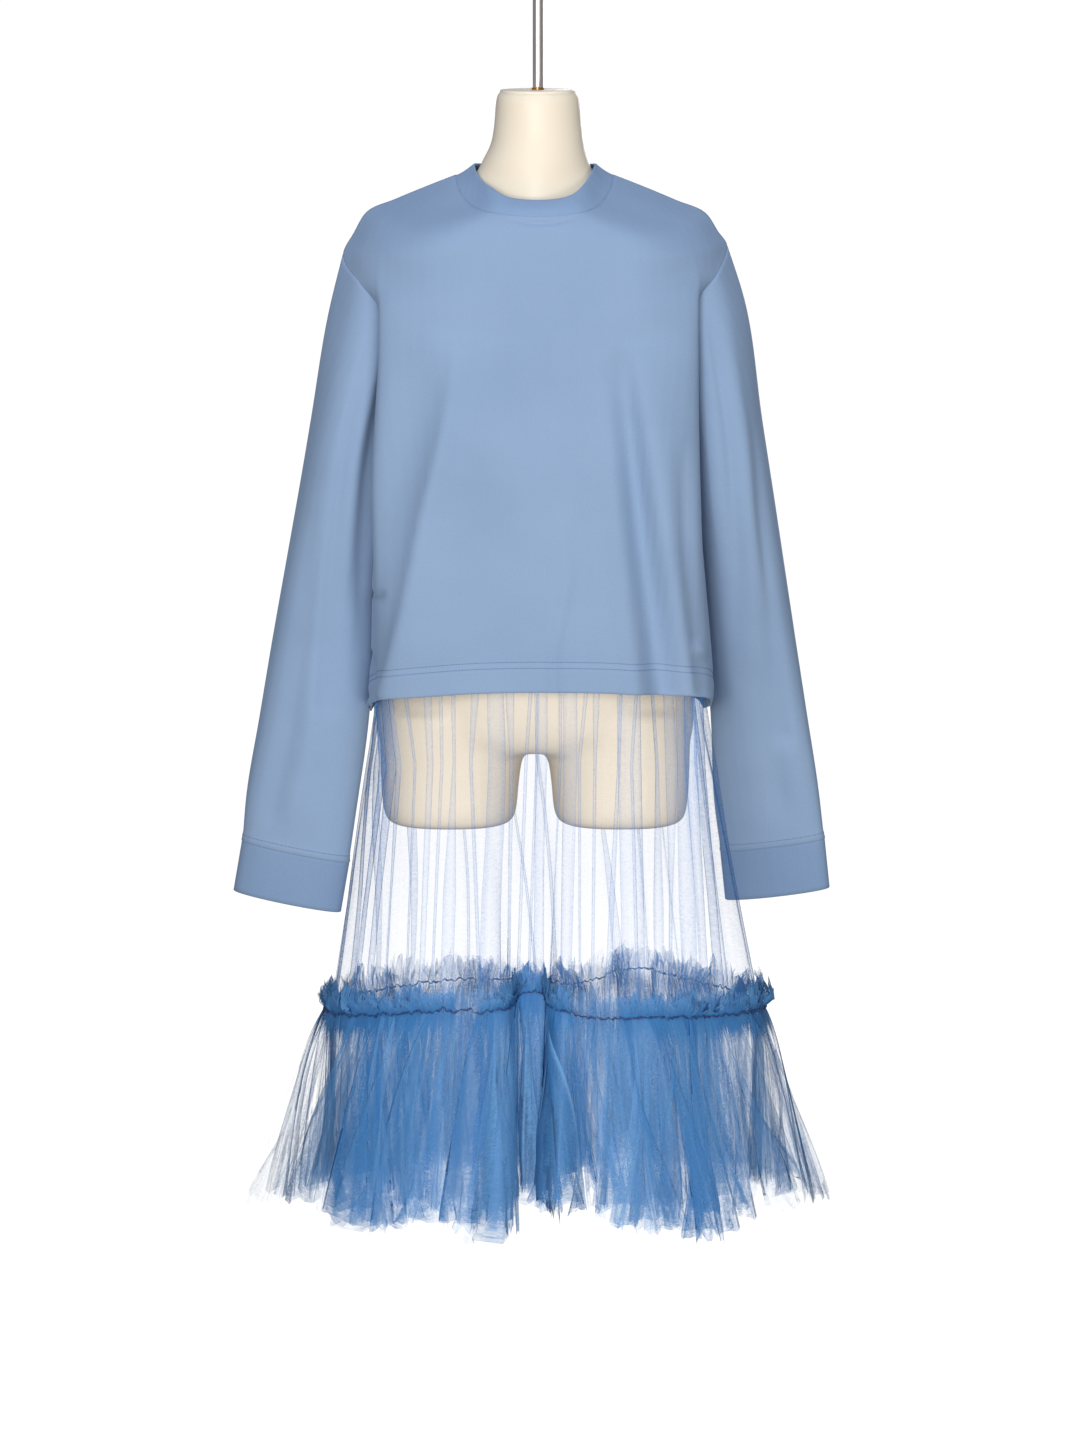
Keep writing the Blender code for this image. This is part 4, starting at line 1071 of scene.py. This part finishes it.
# pleats of the front, a row each: place across at the hem, at mid thigh and above the ruffle, and half width
# at the same three levels
FRONT_PLEATS = (
    (-166, -160, -178, 5.0, 6.5, 5.5), (-159, -151, -166, 6.0, 8.0, 5.0), (-152, -143, -152, 4.0, 3.6, 1.2),
    (-136, -126, -132, 1.4, 0.9, 1.0),
    (-113.5, -110.5, -116.5, 3.5, 2.6, 2.6), (-100, -98.5, -105, 1.3, 1.0, 0.9),
    (-87, -86, -91, 1.6, 0.8, 6.0), (-64, -69, -63.6, 3.6, 1.0, 1.0), (-44, -42, -46, 8.0, 8.2, 11.7),
    (-29, -27, -29, 4.0, 1.6, 0.9),
    (-7.2, -12, -17, 1.3, 1.0, 0.8), (-1.5, -1, -6, 1.6, 0.7, 0.7), (4, 4, 2, 5.0, 5.8, 5.0),
    (23, 23, 17, 1.1, 1.0, 0.8), (33, 33, 30, 6.4, 6.6, 6.7), (49.8, 42.5, 43, 1.3, 1.0, 0.8),
    (60, 58.5, 57, 3.0, 1.0, 1.0), (84, 83, 76, 2.2, 0.9, 2.0), (95, 95, 97.4, 10.5, 11.5, 11.4),
    (101, 96, 100, 0.9, 0.9, 0.9), (117.5, 122.6, 124, 1.2, 1.0, 5.0), (134, 138, 137, 4.2, 5.8, 1.0),
    (146.5, 148, 154, 3.8, 3.8, 8.6), (156, 158, 167, 5.0, 6.0, 4.5), (165, 167, 180, 6.0, 7.0, 5.5),
)
PLEAT_LEVELS = (-745.0, -820.0, -956.0)
PLEATS_RUN_ON = 120.0            # below the last level they drift on for this far, mm, and a little slower
PLEATS_SLOW = 0.9
BACK_PLEATS = 12
BACK_SPACING = (0.5, 1.6)        # least and most from pleat to pleat, against one another
BACK_MARGIN = 0.06               # the back's pleats leave this share of the back clear at its start
BACK_SPAN = 0.86                 # and take up this share of it
BACK_SWAY = 0.006                # how far a pleat of the back sways, as a share of the whole round
BULGES = (-3.5, 4.5)             # how far the net bulges in or out between two pleats
# half widths that the back's pleats take, and how often: most are fine, a few are broad
BACK_HALVES = (0.7, 0.8, 1.0, 3.0, 5.5, 8.0)
BACK_SHARES = (0.26, 0.22, 0.18, 0.14, 0.12, 0.08)
BACK_LEVELS = (0.0, 0.4, 1.0)    # where each pleat of the back has its places and widths, hem to seam
SKIRT_ROWS = 46
TUCKED_UP = 18.0                 # how far the skirt's top lies above the hem's edge, inside
CLEAR_OF_HEM = 4.5
RING_POINTS = 1440
HEM_EVERY = 6                    # the skirt's top follows every sixth point of the hem
PLEAT_LAYER = 1.5                # distance between the three layers of a pleat
PLEAT_TURN = 0.7                 # how far the net goes past a pleat's edge as it turns
BULGE_SPAN = 24.0                # net between two pleats bulges in full where it is this wide
LAY_POINTS = 6                   # along the net between two pleats
CALM = 2.5                       # how much the net's normals lean to the plain form
STEEPEST = 9.0                   # net that stands edge-on counts as so many layers at most
A_BIT = 0.001                    # of the whole round
BACK_POINTS = 3                  # along the reversed layer of a pleat
HALF_POINTS = 700                # places that are read along the front
CROWDED = 1.4                    # the pleats crowd together at both ends of the front, just under the hem
CROWD_X = 160.0
CROWD_REACH = 10.0


def closed_spline(points, count):
    """Points spaced evenly along the closed curve through the given points."""
    points = np.asarray(points, dtype=float)
    ring = np.concatenate([points[-3:], points, points[:3]])
    knots = chord_knots(ring)
    start, end = knots[3], knots[3 + len(points)]
    dense = spline(ring, knots, np.linspace(start, end, count * 8 + 1), steady=False)
    walked = chord_knots(dense)
    wanted = np.linspace(0.0, walked[-1], count, endpoint=False)
    return np.stack([np.interp(wanted, walked, dense[:, axis]) for axis in range(3)], axis=1)


def ring_at(ring, share):
    """Points of a closed ring of evenly spaced points at shares of its length."""
    at = np.mod(share, 1.0) * len(ring)
    low = np.floor(at).astype(int) % len(ring)
    part = (at - np.floor(at))[..., None]
    return ring[low] * (1.0 - part) + ring[(low + 1) % len(ring)] * part


def outward_of(ring):
    """Level unit directions that point out of a ring which runs from the right over the front to the left."""
    step = np.roll(ring, -3, axis=0) - np.roll(ring, 3, axis=0)
    return unit(np.stack([step[:, 1], -step[:, 0], np.zeros(len(ring))], axis=1))


def net_sheet(name, grid, outward, material, **marks):
    """One thickness of net, closed round the body; the marks are one value a point for its finish."""
    rows, columns = grid.shape[:2]
    # in the flat net every column runs straight down, however the folds carry it about
    girth = np.linalg.norm(np.roll(grid, -1, axis=1) - grid, axis=2).sum(axis=1).mean() * MM
    drop = np.linalg.norm(np.diff(grid, axis=0), axis=2).mean(axis=1) * MM
    fallen = np.concatenate([[0.0], -np.cumsum(drop)])
    across, down = np.meshgrid(np.linspace(0.0, girth, columns + 1), fallen)
    uv = np.stack([across, down], axis=2)
    faces, corners = (part[:, ::-1].tolist() for part in squares(rows, columns, columns + 1))
    piece = cloth_mesh(name, grid.reshape(-1, 3), faces, corners, material, uv.reshape(-1, 2))
    for label, values in marks.items():
        layer = piece.data.attributes.new(label, "FLOAT", "POINT")
        layer.data.foreach_set("value", np.asarray(values).astype("f").ravel())
    # so sheer a net shows hardly any light and shade of its own: its normals lean to those of the plain form
    facing = np.zeros(len(piece.data.vertices) * 3)
    piece.data.vertices.foreach_get("normal", facing)
    facing = facing.reshape(-1, 3)
    outward = outward.reshape(-1, 3)
    side = np.where((facing * outward).sum(axis=1) < 0.0, -1.0, 1.0)
    calm = unit(facing + CALM * outward * side[:, None])
    piece.data.normals_split_custom_set_from_vertices(calm.tolist())
    return piece


def nylon_net(name, cover, crease, thin, full, bulk, streaks):
    """Fine net: each layer hides a share of what is behind it, and more where it stands edge-on or turns."""
    material, tree, shader = blank_material(name)
    cloth = add_node(tree, "ShaderNodeUVMap", uv_map="cloth")
    crest = add_node(tree, "ShaderNodeAttribute", attribute_name="crest")
    weight = add_node(tree, "ShaderNodeAttribute", attribute_name="weight")
    # the 'edge' mark is painted light: how far the net's tone is lifted to a lighter blue
    edge = add_node(tree, "ShaderNodeAttribute", attribute_name="edge")
    # the net's cells are 0.9 mm, which is finer than the picture shows: they are drawn as a 1.6 mm speckle
    snapped = add_node(tree, "ShaderNodeVectorMath", {0: cloth.outputs["UV"], 1: (0.0016, 0.0016, 1.0)},
                       operation="SNAP")
    cells = add_node(tree, "ShaderNodeTexWhiteNoise", {"Vector": snapped.outputs["Vector"]},
                     noise_dimensions="2D")
    speckle = add_node(tree, "ShaderNodeMapRange", {"Value": cells.outputs["Value"], "To Min": 0.72,
                                                    "To Max": 1.28})
    lines = add_node(tree, "ShaderNodeMapRange", {"Value": crest.outputs["Fac"], "To Min": cover,
                                                  "To Max": crease})
    share = add_node(tree, "ShaderNodeMath", {0: lines.outputs["Result"], 1: speckle.outputs["Result"]},
                     operation="MULTIPLY")
    # small creases 3 mm apart that run down the net, too fine to be folded one by one
    drawn = add_node(tree, "ShaderNodeMapping", {"Vector": cloth.outputs["UV"], "Scale": (300.0, 5.0, 1.0)})
    fibres = add_node(tree, "ShaderNodeTexNoise", {"Vector": drawn.outputs["Vector"], "Scale": 1.0,
                                                   "Detail": 1.0})
    fibres = add_node(tree, "ShaderNodeMapRange", {"Value": fibres.outputs["Fac"], "From Min": 0.3,
                                                   "From Max": 0.7, "To Min": 1.0 - streaks,
                                                   "To Max": 1.0 + streaks})
    share = add_node(tree, "ShaderNodeMath", {0: share.outputs[0], 1: fibres.outputs["Result"]},
                     operation="MULTIPLY")
    share = add_node(tree, "ShaderNodeMath", {0: share.outputs[0], 1: weight.outputs["Fac"]},
                     operation="MULTIPLY", use_clamp=True)
    facing = add_node(tree, "ShaderNodeLayerWeight", {"Blend": 0.5})
    square = add_node(tree, "ShaderNodeMath", {0: 1.02, 1: facing.outputs["Facing"]}, operation="SUBTRACT")
    slant = add_node(tree, "ShaderNodeMath", {0: 1.0, 1: square.outputs[0]}, operation="DIVIDE")
    slant = add_node(tree, "ShaderNodeMath", {0: slant.outputs[0], 1: STEEPEST}, operation="MINIMUM")
    through = add_node(tree, "ShaderNodeMath", {0: 1.0, 1: share.outputs[0]}, operation="SUBTRACT")
    through = add_node(tree, "ShaderNodeMath", {0: through.outputs[0], 1: slant.outputs[0]},
                       operation="POWER")
    hidden = add_node(tree, "ShaderNodeMath", {0: 1.0, 1: through.outputs[0]}, operation="SUBTRACT",
                      use_clamp=True)
    tree.links.new(hidden.outputs[0], shader.inputs["Alpha"])
    thick = add_node(tree, "ShaderNodeMapRange", {"Value": hidden.outputs[0], "From Min": cover,
                                                  "From Max": cover * 2.6, "To Min": bulk, "To Max": 1.0})
    tone = add_node(tree, "ShaderNodeMix", {"Factor": thick.outputs["Result"], "A": linear(thin),
                                            "B": linear(full)}, data_type="RGBA")
    # painted highlight: the many cut ends of a frill, and some lays of the ruffle, are tinted a lighter blue
    # where they would catch more light than the flat of the net
    tone = add_node(tree, "ShaderNodeMix", {"Factor": edge.outputs["Fac"], "A": tone.outputs["Result"],
                                            "B": linear("#7EAEDA")}, data_type="RGBA")
    tree.links.new(tone.outputs["Result"], shader.inputs["Base Color"])
    shader.inputs["Roughness"].default_value = 0.6
    shader.inputs["Specular IOR Level"].default_value = 0.25
    return material


skirt_net = nylon_net("nylon_tulle_single", cover=0.055, crease=0.19, thin="#86A8DC", full="#4A86C8",
                      bulk=0.0, streaks=0.2)
hem_ring = np.concatenate([front_in[0, :-1], back_in[0, ::-1][:-1]])
hem_ring = closed_spline(hem_ring[::HEM_EVERY], RING_POINTS)
seam_ring = closed_spline(RING, RING_POINTS)
hem_out, seam_out = outward_of(hem_ring), outward_of(seam_ring)
hem_ring = hem_ring - hem_out * CLEAR_OF_HEM
rng = np.random.default_rng(7)
levels = np.concatenate([[-TUCKED_UP, -TUCKED_UP / 2.0], np.linspace(0.0, 1.0, SKIRT_ROWS - 2)])


def skirt_base(level, share):
    """A point of the skirt's plain form and the way out of it; levels below nothing are mm above the hem."""
    fall = max(level, 0.0)
    base = ring_at(hem_ring, share) * (1.0 - fall) + ring_at(seam_ring, share) * fall
    base[..., 2] -= min(level, 0.0)
    return base, unit(ring_at(hem_out, share) * (1.0 - fall) + ring_at(seam_out, share) * fall)


table = np.array(FRONT_PLEATS)
half_front = np.linspace(0.0, 0.5, HALF_POINTS)
spacing = np.cumsum(rng.uniform(*BACK_SPACING, BACK_PLEATS + 1))
spacing = spacing[:-1] / spacing[-1]
back_half = rng.choice(BACK_HALVES, (BACK_PLEATS, 3), p=BACK_SHARES)
back_drift = rng.uniform(-BACK_SWAY, BACK_SWAY, (BACK_PLEATS, 3))
pleat_bulge = rng.uniform(*BULGES, len(table) + BACK_PLEATS)
grid, ways, crest = [], [], []
for level in levels:
    # the front's pleats at this level: places and half widths in mm, then the places as shares of the round
    base, _ = skirt_base(level, half_front)
    depth = base[:, 2].mean()
    knots = -np.array(PLEAT_LEVELS)
    reach = np.clip(-depth, knots[0], knots[-1] + PLEATS_RUN_ON)
    low_drift = (table[:, 2] - table[:, 1]) / (knots[2] - knots[1])
    place = np.array([np.interp(reach, knots, row[:3]) for row in table])
    place += low_drift * max(reach - knots[-1], 0.0) * PLEATS_SLOW
    half = np.array([np.interp(reach, knots, row[3:]) for row in table])
    order = np.argsort(base[:, 0])
    share = np.interp(place, base[order, 0], half_front[order])
    # the back's pleats
    gap = 1.0 - (share[-1] - share[0])
    fall = np.clip(level, 0.0, 1.0)
    drift = [np.interp(fall, BACK_LEVELS, row) for row in back_drift]
    back_share = share[-1] + gap * (BACK_MARGIN + BACK_SPAN * spacing) + np.array(drift)
    wide = np.array([np.interp(fall, BACK_LEVELS, row) for row in back_half])
    share = np.concatenate([share, back_share])
    half = np.concatenate([half, wide])
    # how many mm the whole round would be, if it were all as it is here
    base, _ = skirt_base(level, share)
    ahead, _ = skirt_base(level, share + A_BIT)
    length = np.linalg.norm(ahead - base, axis=1) / A_BIT
    half = half / length
    turn = PLEAT_TURN / length
    previous = np.roll(share - half, 1)
    previous[0] -= 1.0
    line, out, mark = [], [], []
    for i in range(len(share)):
        # the net lies on from the last pleat to the far edge of this one, bulging a little on its way
        start, end = previous[i], share[i] + half[i]
        way = np.linspace(0.0, 1.0, LAY_POINTS + 1)[1:]
        line += list(start + (end - start) * way)
        swell = pleat_bulge[i] * np.sin(np.pi * way) * min(1.0, (end - start) * length[i] / BULGE_SPAN)
        out += list(-PLEAT_LAYER + 2.0 * PLEAT_LAYER * way + swell * np.clip(fall * 5.0, 0.0, 1.0))
        mark += [0.0] * (LAY_POINTS - 1) + [0.6]
        # there it turns and runs back under itself, and at the near edge it turns again
        line += [end + turn[i], end]
        out += [PLEAT_LAYER / 2.0, 0.0]
        mark += [1.0, 0.6]
        way = np.linspace(0.0, 1.0, BACK_POINTS + 1)[1:]
        line += list(end - 2.0 * half[i] * way)
        out += [0.0] * BACK_POINTS
        mark += [0.0] * (BACK_POINTS - 1) + [0.6]
        line += [share[i] - half[i] - turn[i], share[i] - half[i]]
        out += [-PLEAT_LAYER / 2.0, -PLEAT_LAYER]
        mark += [1.0, 0.6]
    base, direction = skirt_base(level, np.array(line))
    grid.append(base + direction * np.array(out)[:, None])
    ways.append(direction)
    crest.append(mark)
grid = np.array(grid)
beside = np.exp(-((np.abs(grid[..., 0]) - CROWD_X) / CROWD_REACH) ** 2) * (grid[..., 1] < -20.0)
close = 1.0 + CROWDED * beside * np.clip(1.6 - np.clip(levels, 0.0, 1.0) * 2.4, 0.25, 1.0)[:, None]
# the skirt's net gets no painted light: its edge mark is nothing
piece = net_sheet("skirt_net", grid, np.array(ways), skirt_net, crest=np.array(crest) / close, weight=close,
                  edge=np.zeros(grid.shape[:2]))
# a single layer of net throws next to no shadow
piece.visible_shadow = False
fasten(piece, "tulle", "tulle_skirt")

# ------------------------------------------------------------------------------------------------------------
# The ruffle.
# Four lengths of the same net laid together, gathered on a dark blue thread some 22 mm below their top edge
# and sewn to the skirt's foot. Below the thread they fan out in fine folds; above it the cut edges stand up
# as a frill.
# ------------------------------------------------------------------------------------------------------------
RUFFLE_COLUMNS = 1120
RUFFLE_DROPS = np.concatenate([np.linspace(0.0, 0.12, 8)[1:], np.linspace(0.12, 1.0, 25)[1:]])
FRILL_RISES = np.linspace(1.0, 0.0, 9)[:-1]
# a row per layer, inner first: stand-off at the seam, flare at the foot, length, the frill's height and lean,
# number and depth of the large, middle and small folds, and how far the foot's edge wanders
RUFFLE_LAYERS = (
    (1.5, 0.00, 191.0, 21.0, -1.0, (24, 66, 150), (7.0, 5.0, 1.2), 5.0),
    (3.0, 0.03, 197.0, 23.0, 1.5, (22, 60, 140), (9.0, 5.5, 1.2), 6.0),
    (4.5, 0.10, 206.0, 22.0, 4.0, (19, 50, 120), (10.0, 5.5, 1.0), 7.0),
    (6.0, 0.28, 214.0, 19.0, 6.0, (14, 36, 100), (9.0, 4.5, 0.8), 8.0),
)
# round the front, from the right to the left at the seam: place, closeness of the frill and of the ruffle,
# and mm that the foot is longer
FRONT_CHART = (
    (-222, 1.1, 0.05, -22), (-206, 1.2, 0.07, -16), (-190, 1.2, 0.25, -6), (-172, 1.1, 0.85, 0),
    (-160, 1.2, 1.30, 2), (-148, 1.2, 0.95, 4), (-130, 1.3, 1.10, 4), (-112, 1.3, 1.25, 6),
    (-100, 1.2, 1.0, 6), (-90, 1.2, 1.05, 4), (-84, 0.4, 1.10, 2), (-64, 0.4, 1.35, 4),
    (-52, 1.1, 1.35, 6), (-30, 1.1, 1.20, 4),
    (-18, 1.5, 1.40, 4), (10, 1.6, 1.30, 0), (22, 1.2, 1.35, -20), (34, 1.1, 1.35, -40), (40, 0.5, 1.10, -46),
    (66, 0.5, 1.05, -42), (84, 0.5, 1.20, 0), (88, 1.2, 1.30, 4), (112, 1.2, 1.10, 6), (130, 1.3, 1.35, 6),
    (164, 1.4, 1.35, 6), (178, 1.3, 0.85, 2), (186, 0.9, 0.32, -4), (206, 1.0, 0.09, -12),
    (232, 1.1, 0.05, -22),
)
RUFFLE_STANDS_FOR = ("ruffle_inner", "ruffle_inner", "ruffle_outer", "ruffle_outer")
SHADE_CASTERS = 2                # the outer layers are too sheer to shade the inner ones
PACKED = 0.8                     # how much denser the net is where the thread draws it up
PACKED_BELOW = 0.1               # how far down that reaches, as a share of the ruffle
PACKED_ABOVE = 0.9               # and up, as a share of the frill
SHORTER_BEHIND = 12.0
FOOT_SPREAD = 1.25               # how much wider the ruffle lies at its foot than at the seam
LAYS = 104                       # lays of net round the ruffle, each drawn up and cut a little differently
LAY_CLOSENESS = (0.3, 1.8)       # how dense a lay is drawn up, against the chart
LAY_TIPS = (0.75, 1.25)          # the height of their tips, against the frill's
LAY_SLOPE = 12.0                 # a lay's foot slopes by so many mm at most
LAY_SHORT = 8.0                  # the shortest lays end this far above the foot's own line
LAY_DROP = 6.0                   # the others hang this much lower on the average,
LAY_LONG = 20.0                  # and this much at most
TIP_WAVES = 0.16                 # the tips' height wavers by about this, at each of two paces
FOLD_LEAN = (1.8, 1.9, 1.3)      # how far the folds overhang, against a fold that just stands square
FLARE_WAYS = np.array((1.0, 0.75, 0.0))    # the foot flares less to the front and back than to the sides
PINCH_X = -6.0                   # the seam is pinched in here, in the middle of the front
PINCH_HALF = 46.0
PINCH_DEPTH = 44.0
FRONT_DEPTH = 40.0               # net so far in front of the middle follows the front's chart in full
SIDES_FROM = 172.0               # from here on only a few lays of the net can be seen
SIDES_CONTRAST = 1.6

ruffle_net = nylon_net("nylon_tulle_gathered", cover=0.122, crease=0.55, thin="#5F96CA", full="#336FA9",
                       bulk=0.3, streaks=0.65)
share = np.arange(RUFFLE_COLUMNS) / RUFFLE_COLUMNS
chart_place, chart_frill, chart_net, chart_foot = np.array(FRONT_CHART, dtype=float).T
plain = ring_at(seam_ring, share)
from_middle = np.abs(plain[:, 0])
in_front = np.clip(-plain[:, 1] / FRONT_DEPTH, 0.0, 1.0)
# below the seam the net springs forward again from the pinch
foot_ring = seam_ring.copy()
pinched = np.clip(1.0 - np.abs(seam_ring[:, 0] - PINCH_X) / PINCH_HALF, 0.0, 1.0) * (seam_ring[:, 1] < 0.0)
foot_ring[:, 1] -= PINCH_DEPTH * np.sin(0.5 * np.pi * np.minimum(pinched * 1.6, 1.0)) ** 2
foot_out = outward_of(foot_ring)


def wander(rng, slowest, fastest, share, count=10):
    """Smooth periodic noise of about one, with whole waves round the ring."""
    total = np.zeros_like(share)
    for waves, phase in zip(rng.integers(slowest, fastest + 1, count), rng.uniform(0.0, 2.0 * np.pi, count)):
        total += np.sin(2.0 * np.pi * waves * share + phase)
    return total / math.sqrt(count / 2.0)


def each_lay(values):
    """A value for each lay; the last is the first again, because that lay runs across the start."""
    values[-1] = values[0]
    return values


def charted(behind, in_chart):
    """The front's chart, and behind it the given values."""
    return behind + (np.interp(plain[:, 0], chart_place, in_chart) - behind) * in_front


for number, (stand, flare, length, rise, lean, counts, depths, ragged) in enumerate(RUFFLE_LAYERS):
    rng = np.random.default_rng(100 + number)
    uneven = [wander(rng, 5, 16, share) * 1.6 for _ in counts]
    drift = [wander(rng, 8, 34, share) * 1.8 for _ in counts]
    # how close the net is
    back_frill = np.clip(0.34 + 0.36 * wander(rng, 8, 26, share), 0.08, 1.2)
    back_net = np.clip(1.0 + 0.22 * wander(rng, 8, 30, share), 0.5, 1.5)
    back_net *= 0.14 + 0.76 * np.clip((204.0 - from_middle) / 60.0, 0.0, 1.0)
    frill_weight = charted(back_frill, chart_frill)
    net_weight = charted(back_net, chart_net)
    # how far the foot hangs below the seam
    foot = length + ragged * (wander(rng, 12, 40, share) * 0.4 + np.abs(wander(rng, 120, 300, share)) * 0.7)
    foot += np.interp(plain[:, 0] * FOOT_SPREAD, chart_place, chart_foot) * in_front
    foot -= SHORTER_BEHIND * (1.0 - in_front)
    cuts = (np.arange(LAYS) + rng.uniform(0.0, 0.9, LAYS)) / LAYS
    lay_weight = each_lay(rng.uniform(*LAY_CLOSENESS, LAYS + 1))
    lay_foot = each_lay(np.minimum(rng.exponential(LAY_DROP, LAYS + 1), LAY_LONG) - LAY_SHORT)
    lay_slope = each_lay(rng.uniform(-LAY_SLOPE, LAY_SLOPE, LAYS + 1))
    lay_tip = each_lay(rng.uniform(*LAY_TIPS, LAYS + 1))
    lay = np.searchsorted(cuts, share)
    first = np.concatenate([cuts[-1:] - 1.0, cuts])[lay]
    last = np.concatenate([cuts, cuts[:1] + 1.0])[lay]
    foot += lay_foot[lay] + lay_slope[lay] * ((share - first) / (last - first) - 0.5)
    # the frill's tips, how it puffs out and rolls over
    tip_waves = TIP_WAVES * wander(rng, 16, 60, share) + TIP_WAVES * wander(rng, 150, 270, share)
    tip = rise * lay_tip[lay] * (1.0 + tip_waves)
    puff = 1.0 + 0.8 * wander(rng, 6, 22, share)
    roll = np.clip(wander(rng, 8, 24, share), 0.0, 1.6)
    contrast = 1.0 + SIDES_CONTRAST * np.clip((from_middle - SIDES_FROM) / 30.0, 0.0, 1.0)
    uneven_flare = 1.0 + 0.25 * wander(rng, 4, 12, share)
    # painted light: each lay takes a random share of the lighter tone, in place of the light and shade
    # between the folds
    lay_painted_light = each_lay(rng.uniform(0.0, 1.0, LAYS + 1) ** 2)
    grid, ways, crest, weight, edge = [], [], [], [], []
    # the rows: the frill from its tips down, the seam, and the ruffle from the seam to its foot
    for side, step in [(-1.0, k) for k in FRILL_RISES] + [(0.0, 0.0)] + [(1.0, k) for k in RUFFLE_DROPS]:
        if side > 0:
            open_up = (step ** 0.7, 0.2 + 0.8 * step ** 0.5, 0.6 + 0.4 * step)
        elif side < 0:
            open_up = (0.1 * step, 0.3 * step, 0.55 + step)
        else:
            open_up = (0.0, 0.15, 0.55)
        shift = np.zeros_like(share)
        out = np.zeros_like(share)
        ridge = np.zeros_like(share)
        sizes = zip(counts, uneven, drift, depths, open_up, FOLD_LEAN)
        for count, bend, slide, depth, grow, overhang in sizes:
            angle = 2.0 * np.pi * count * share + bend + slide * step * (1.0 if side > 0 else 0.5)
            shift -= overhang / (2.0 * np.pi * count) * np.sin(angle) * grow
            out += depth * grow * np.cos(angle)
            ridge = np.maximum(ridge, np.clip(np.abs(np.cos(angle)) * 8.0 - 7.0, 0.0, 1.0) * grow * 0.5)
        at = share + shift
        fallen = step ** 0.4 if side > 0 else 0.0
        base = ring_at(seam_ring, at) * (1.0 - fallen) + ring_at(foot_ring, at) * fallen
        direction = unit(ring_at(seam_out, at) * (1.0 - fallen) + ring_at(foot_out, at) * fallen)
        point = base + direction * (stand + out)[:, None]
        if side > 0:
            point += base * FLARE_WAYS * (flare * step ** 0.8 * uneven_flare)[:, None]
            point[:, 2] -= foot * step
        elif side < 0:
            point += direction * (lean * puff * step ** 1.3 + 4.0 * roll * math.sin(math.pi * step))[:, None]
            point[:, 2] += tip * (step - 0.25 * step ** 2 * np.clip(puff - 0.6, 0.0, 1.2))
        grid.append(point)
        ways.append(direction)
        # the finish: fold lines, how close each lay of the net is, and the painted light on some lays and up
        # the frill
        lay = np.searchsorted(cuts, np.mod(share + 0.0015 * drift[0] * step, 1.0))
        if side > 0:
            near = math.exp(-(step / PACKED_BELOW) ** 2)
            packed = PACKED * near
            lower = 1.5 - 0.68 * step
            # painted light on the ruffle's lays, less of it near the thread
            edge.append(0.6 * lay_painted_light[lay] * (1.0 - 0.6 * near))
        else:
            near = 1.0
            packed = PACKED * math.exp(-(step / PACKED_ABOVE) ** 2)
            lower = 1.25
            # painted highlight: the frill grows lighter towards its tips
            edge.append(np.full_like(share, 0.35 * step))
        crest.append(np.maximum(ridge, packed))
        weight.append((net_weight * (1.0 - near) + frill_weight * near) * lay_weight[lay] ** contrast * lower)
    piece = net_sheet("ruffle_layer_%d" % (number + 1), np.array(grid), np.array(ways), ruffle_net,
                      crest=crest, weight=weight, edge=edge)
    piece.visible_shadow = number < SHADE_CASTERS
    fasten(piece, "tulle", RUFFLE_STANDS_FOR[number])

# ------------------------------------------------------------------------------------------------------------
# The gathering thread.
# A dark blue overlock thread draws up the ruffle and holds it to the skirt. It runs all round on top of the
# outer layer of net.
# ------------------------------------------------------------------------------------------------------------
THREAD_RADIUS = 0.85
THREAD_STAND = 7.6
THREAD_WAVES = 0.8               # it wanders up and down by about this, at each of two paces
THREAD_STEPS = 1000
THREAD_SIDES = 6

navy, tree, shader = blank_material("navy_overlock_thread")
# crimped filaments, hardly twisted: soft and nearly matt, mottled over 1.4 mm
place = add_node(tree, "ShaderNodeTexCoord")
twist = add_node(tree, "ShaderNodeTexNoise", {"Vector": place.outputs["Object"], "Scale": 700.0,
                                              "Detail": 2.0})
tone = add_node(tree, "ShaderNodeMix", {"Factor": twist.outputs["Fac"], "A": linear("#1C2C55"),
                                        "B": linear("#31487E")}, data_type="RGBA")
tree.links.new(tone.outputs["Result"], shader.inputs["Base Color"])
shader.inputs["Roughness"].default_value = 0.55
rng = np.random.default_rng(31)
share = np.arange(THREAD_STEPS) / THREAD_STEPS
out = ring_at(seam_out, share)
middle = ring_at(seam_ring, share) + out * (THREAD_STAND + 0.5 * wander(rng, 80, 220, share))[:, None]
middle[:, 2] += THREAD_WAVES * wander(rng, 90, 260, share) + THREAD_WAVES * wander(rng, 30, 60, share)
thick = THREAD_RADIUS * (1.0 + 0.25 * wander(rng, 60, 240, share))
tube = []
for angle in np.linspace(0.0, 2.0 * np.pi, THREAD_SIDES, endpoint=False):
    tube.append(middle + out * (thick * math.cos(angle))[:, None]
                + np.array((0.0, 0.0, 1.0)) * (thick * math.sin(angle))[:, None])
tube = np.array(tube).swapaxes(0, 1).reshape(-1, 3)
faces = []
for i in range(THREAD_STEPS):
    for j in range(THREAD_SIDES):
        a, b = i * THREAD_SIDES + j, i * THREAD_SIDES + (j + 1) % THREAD_SIDES
        ahead = THREAD_SIDES if i < THREAD_STEPS - 1 else -(THREAD_STEPS - 1) * THREAD_SIDES
        faces.append((a, b, b + ahead, a + ahead))
piece = new_object("gathering_thread", tube, faces, navy)
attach(piece, "root")
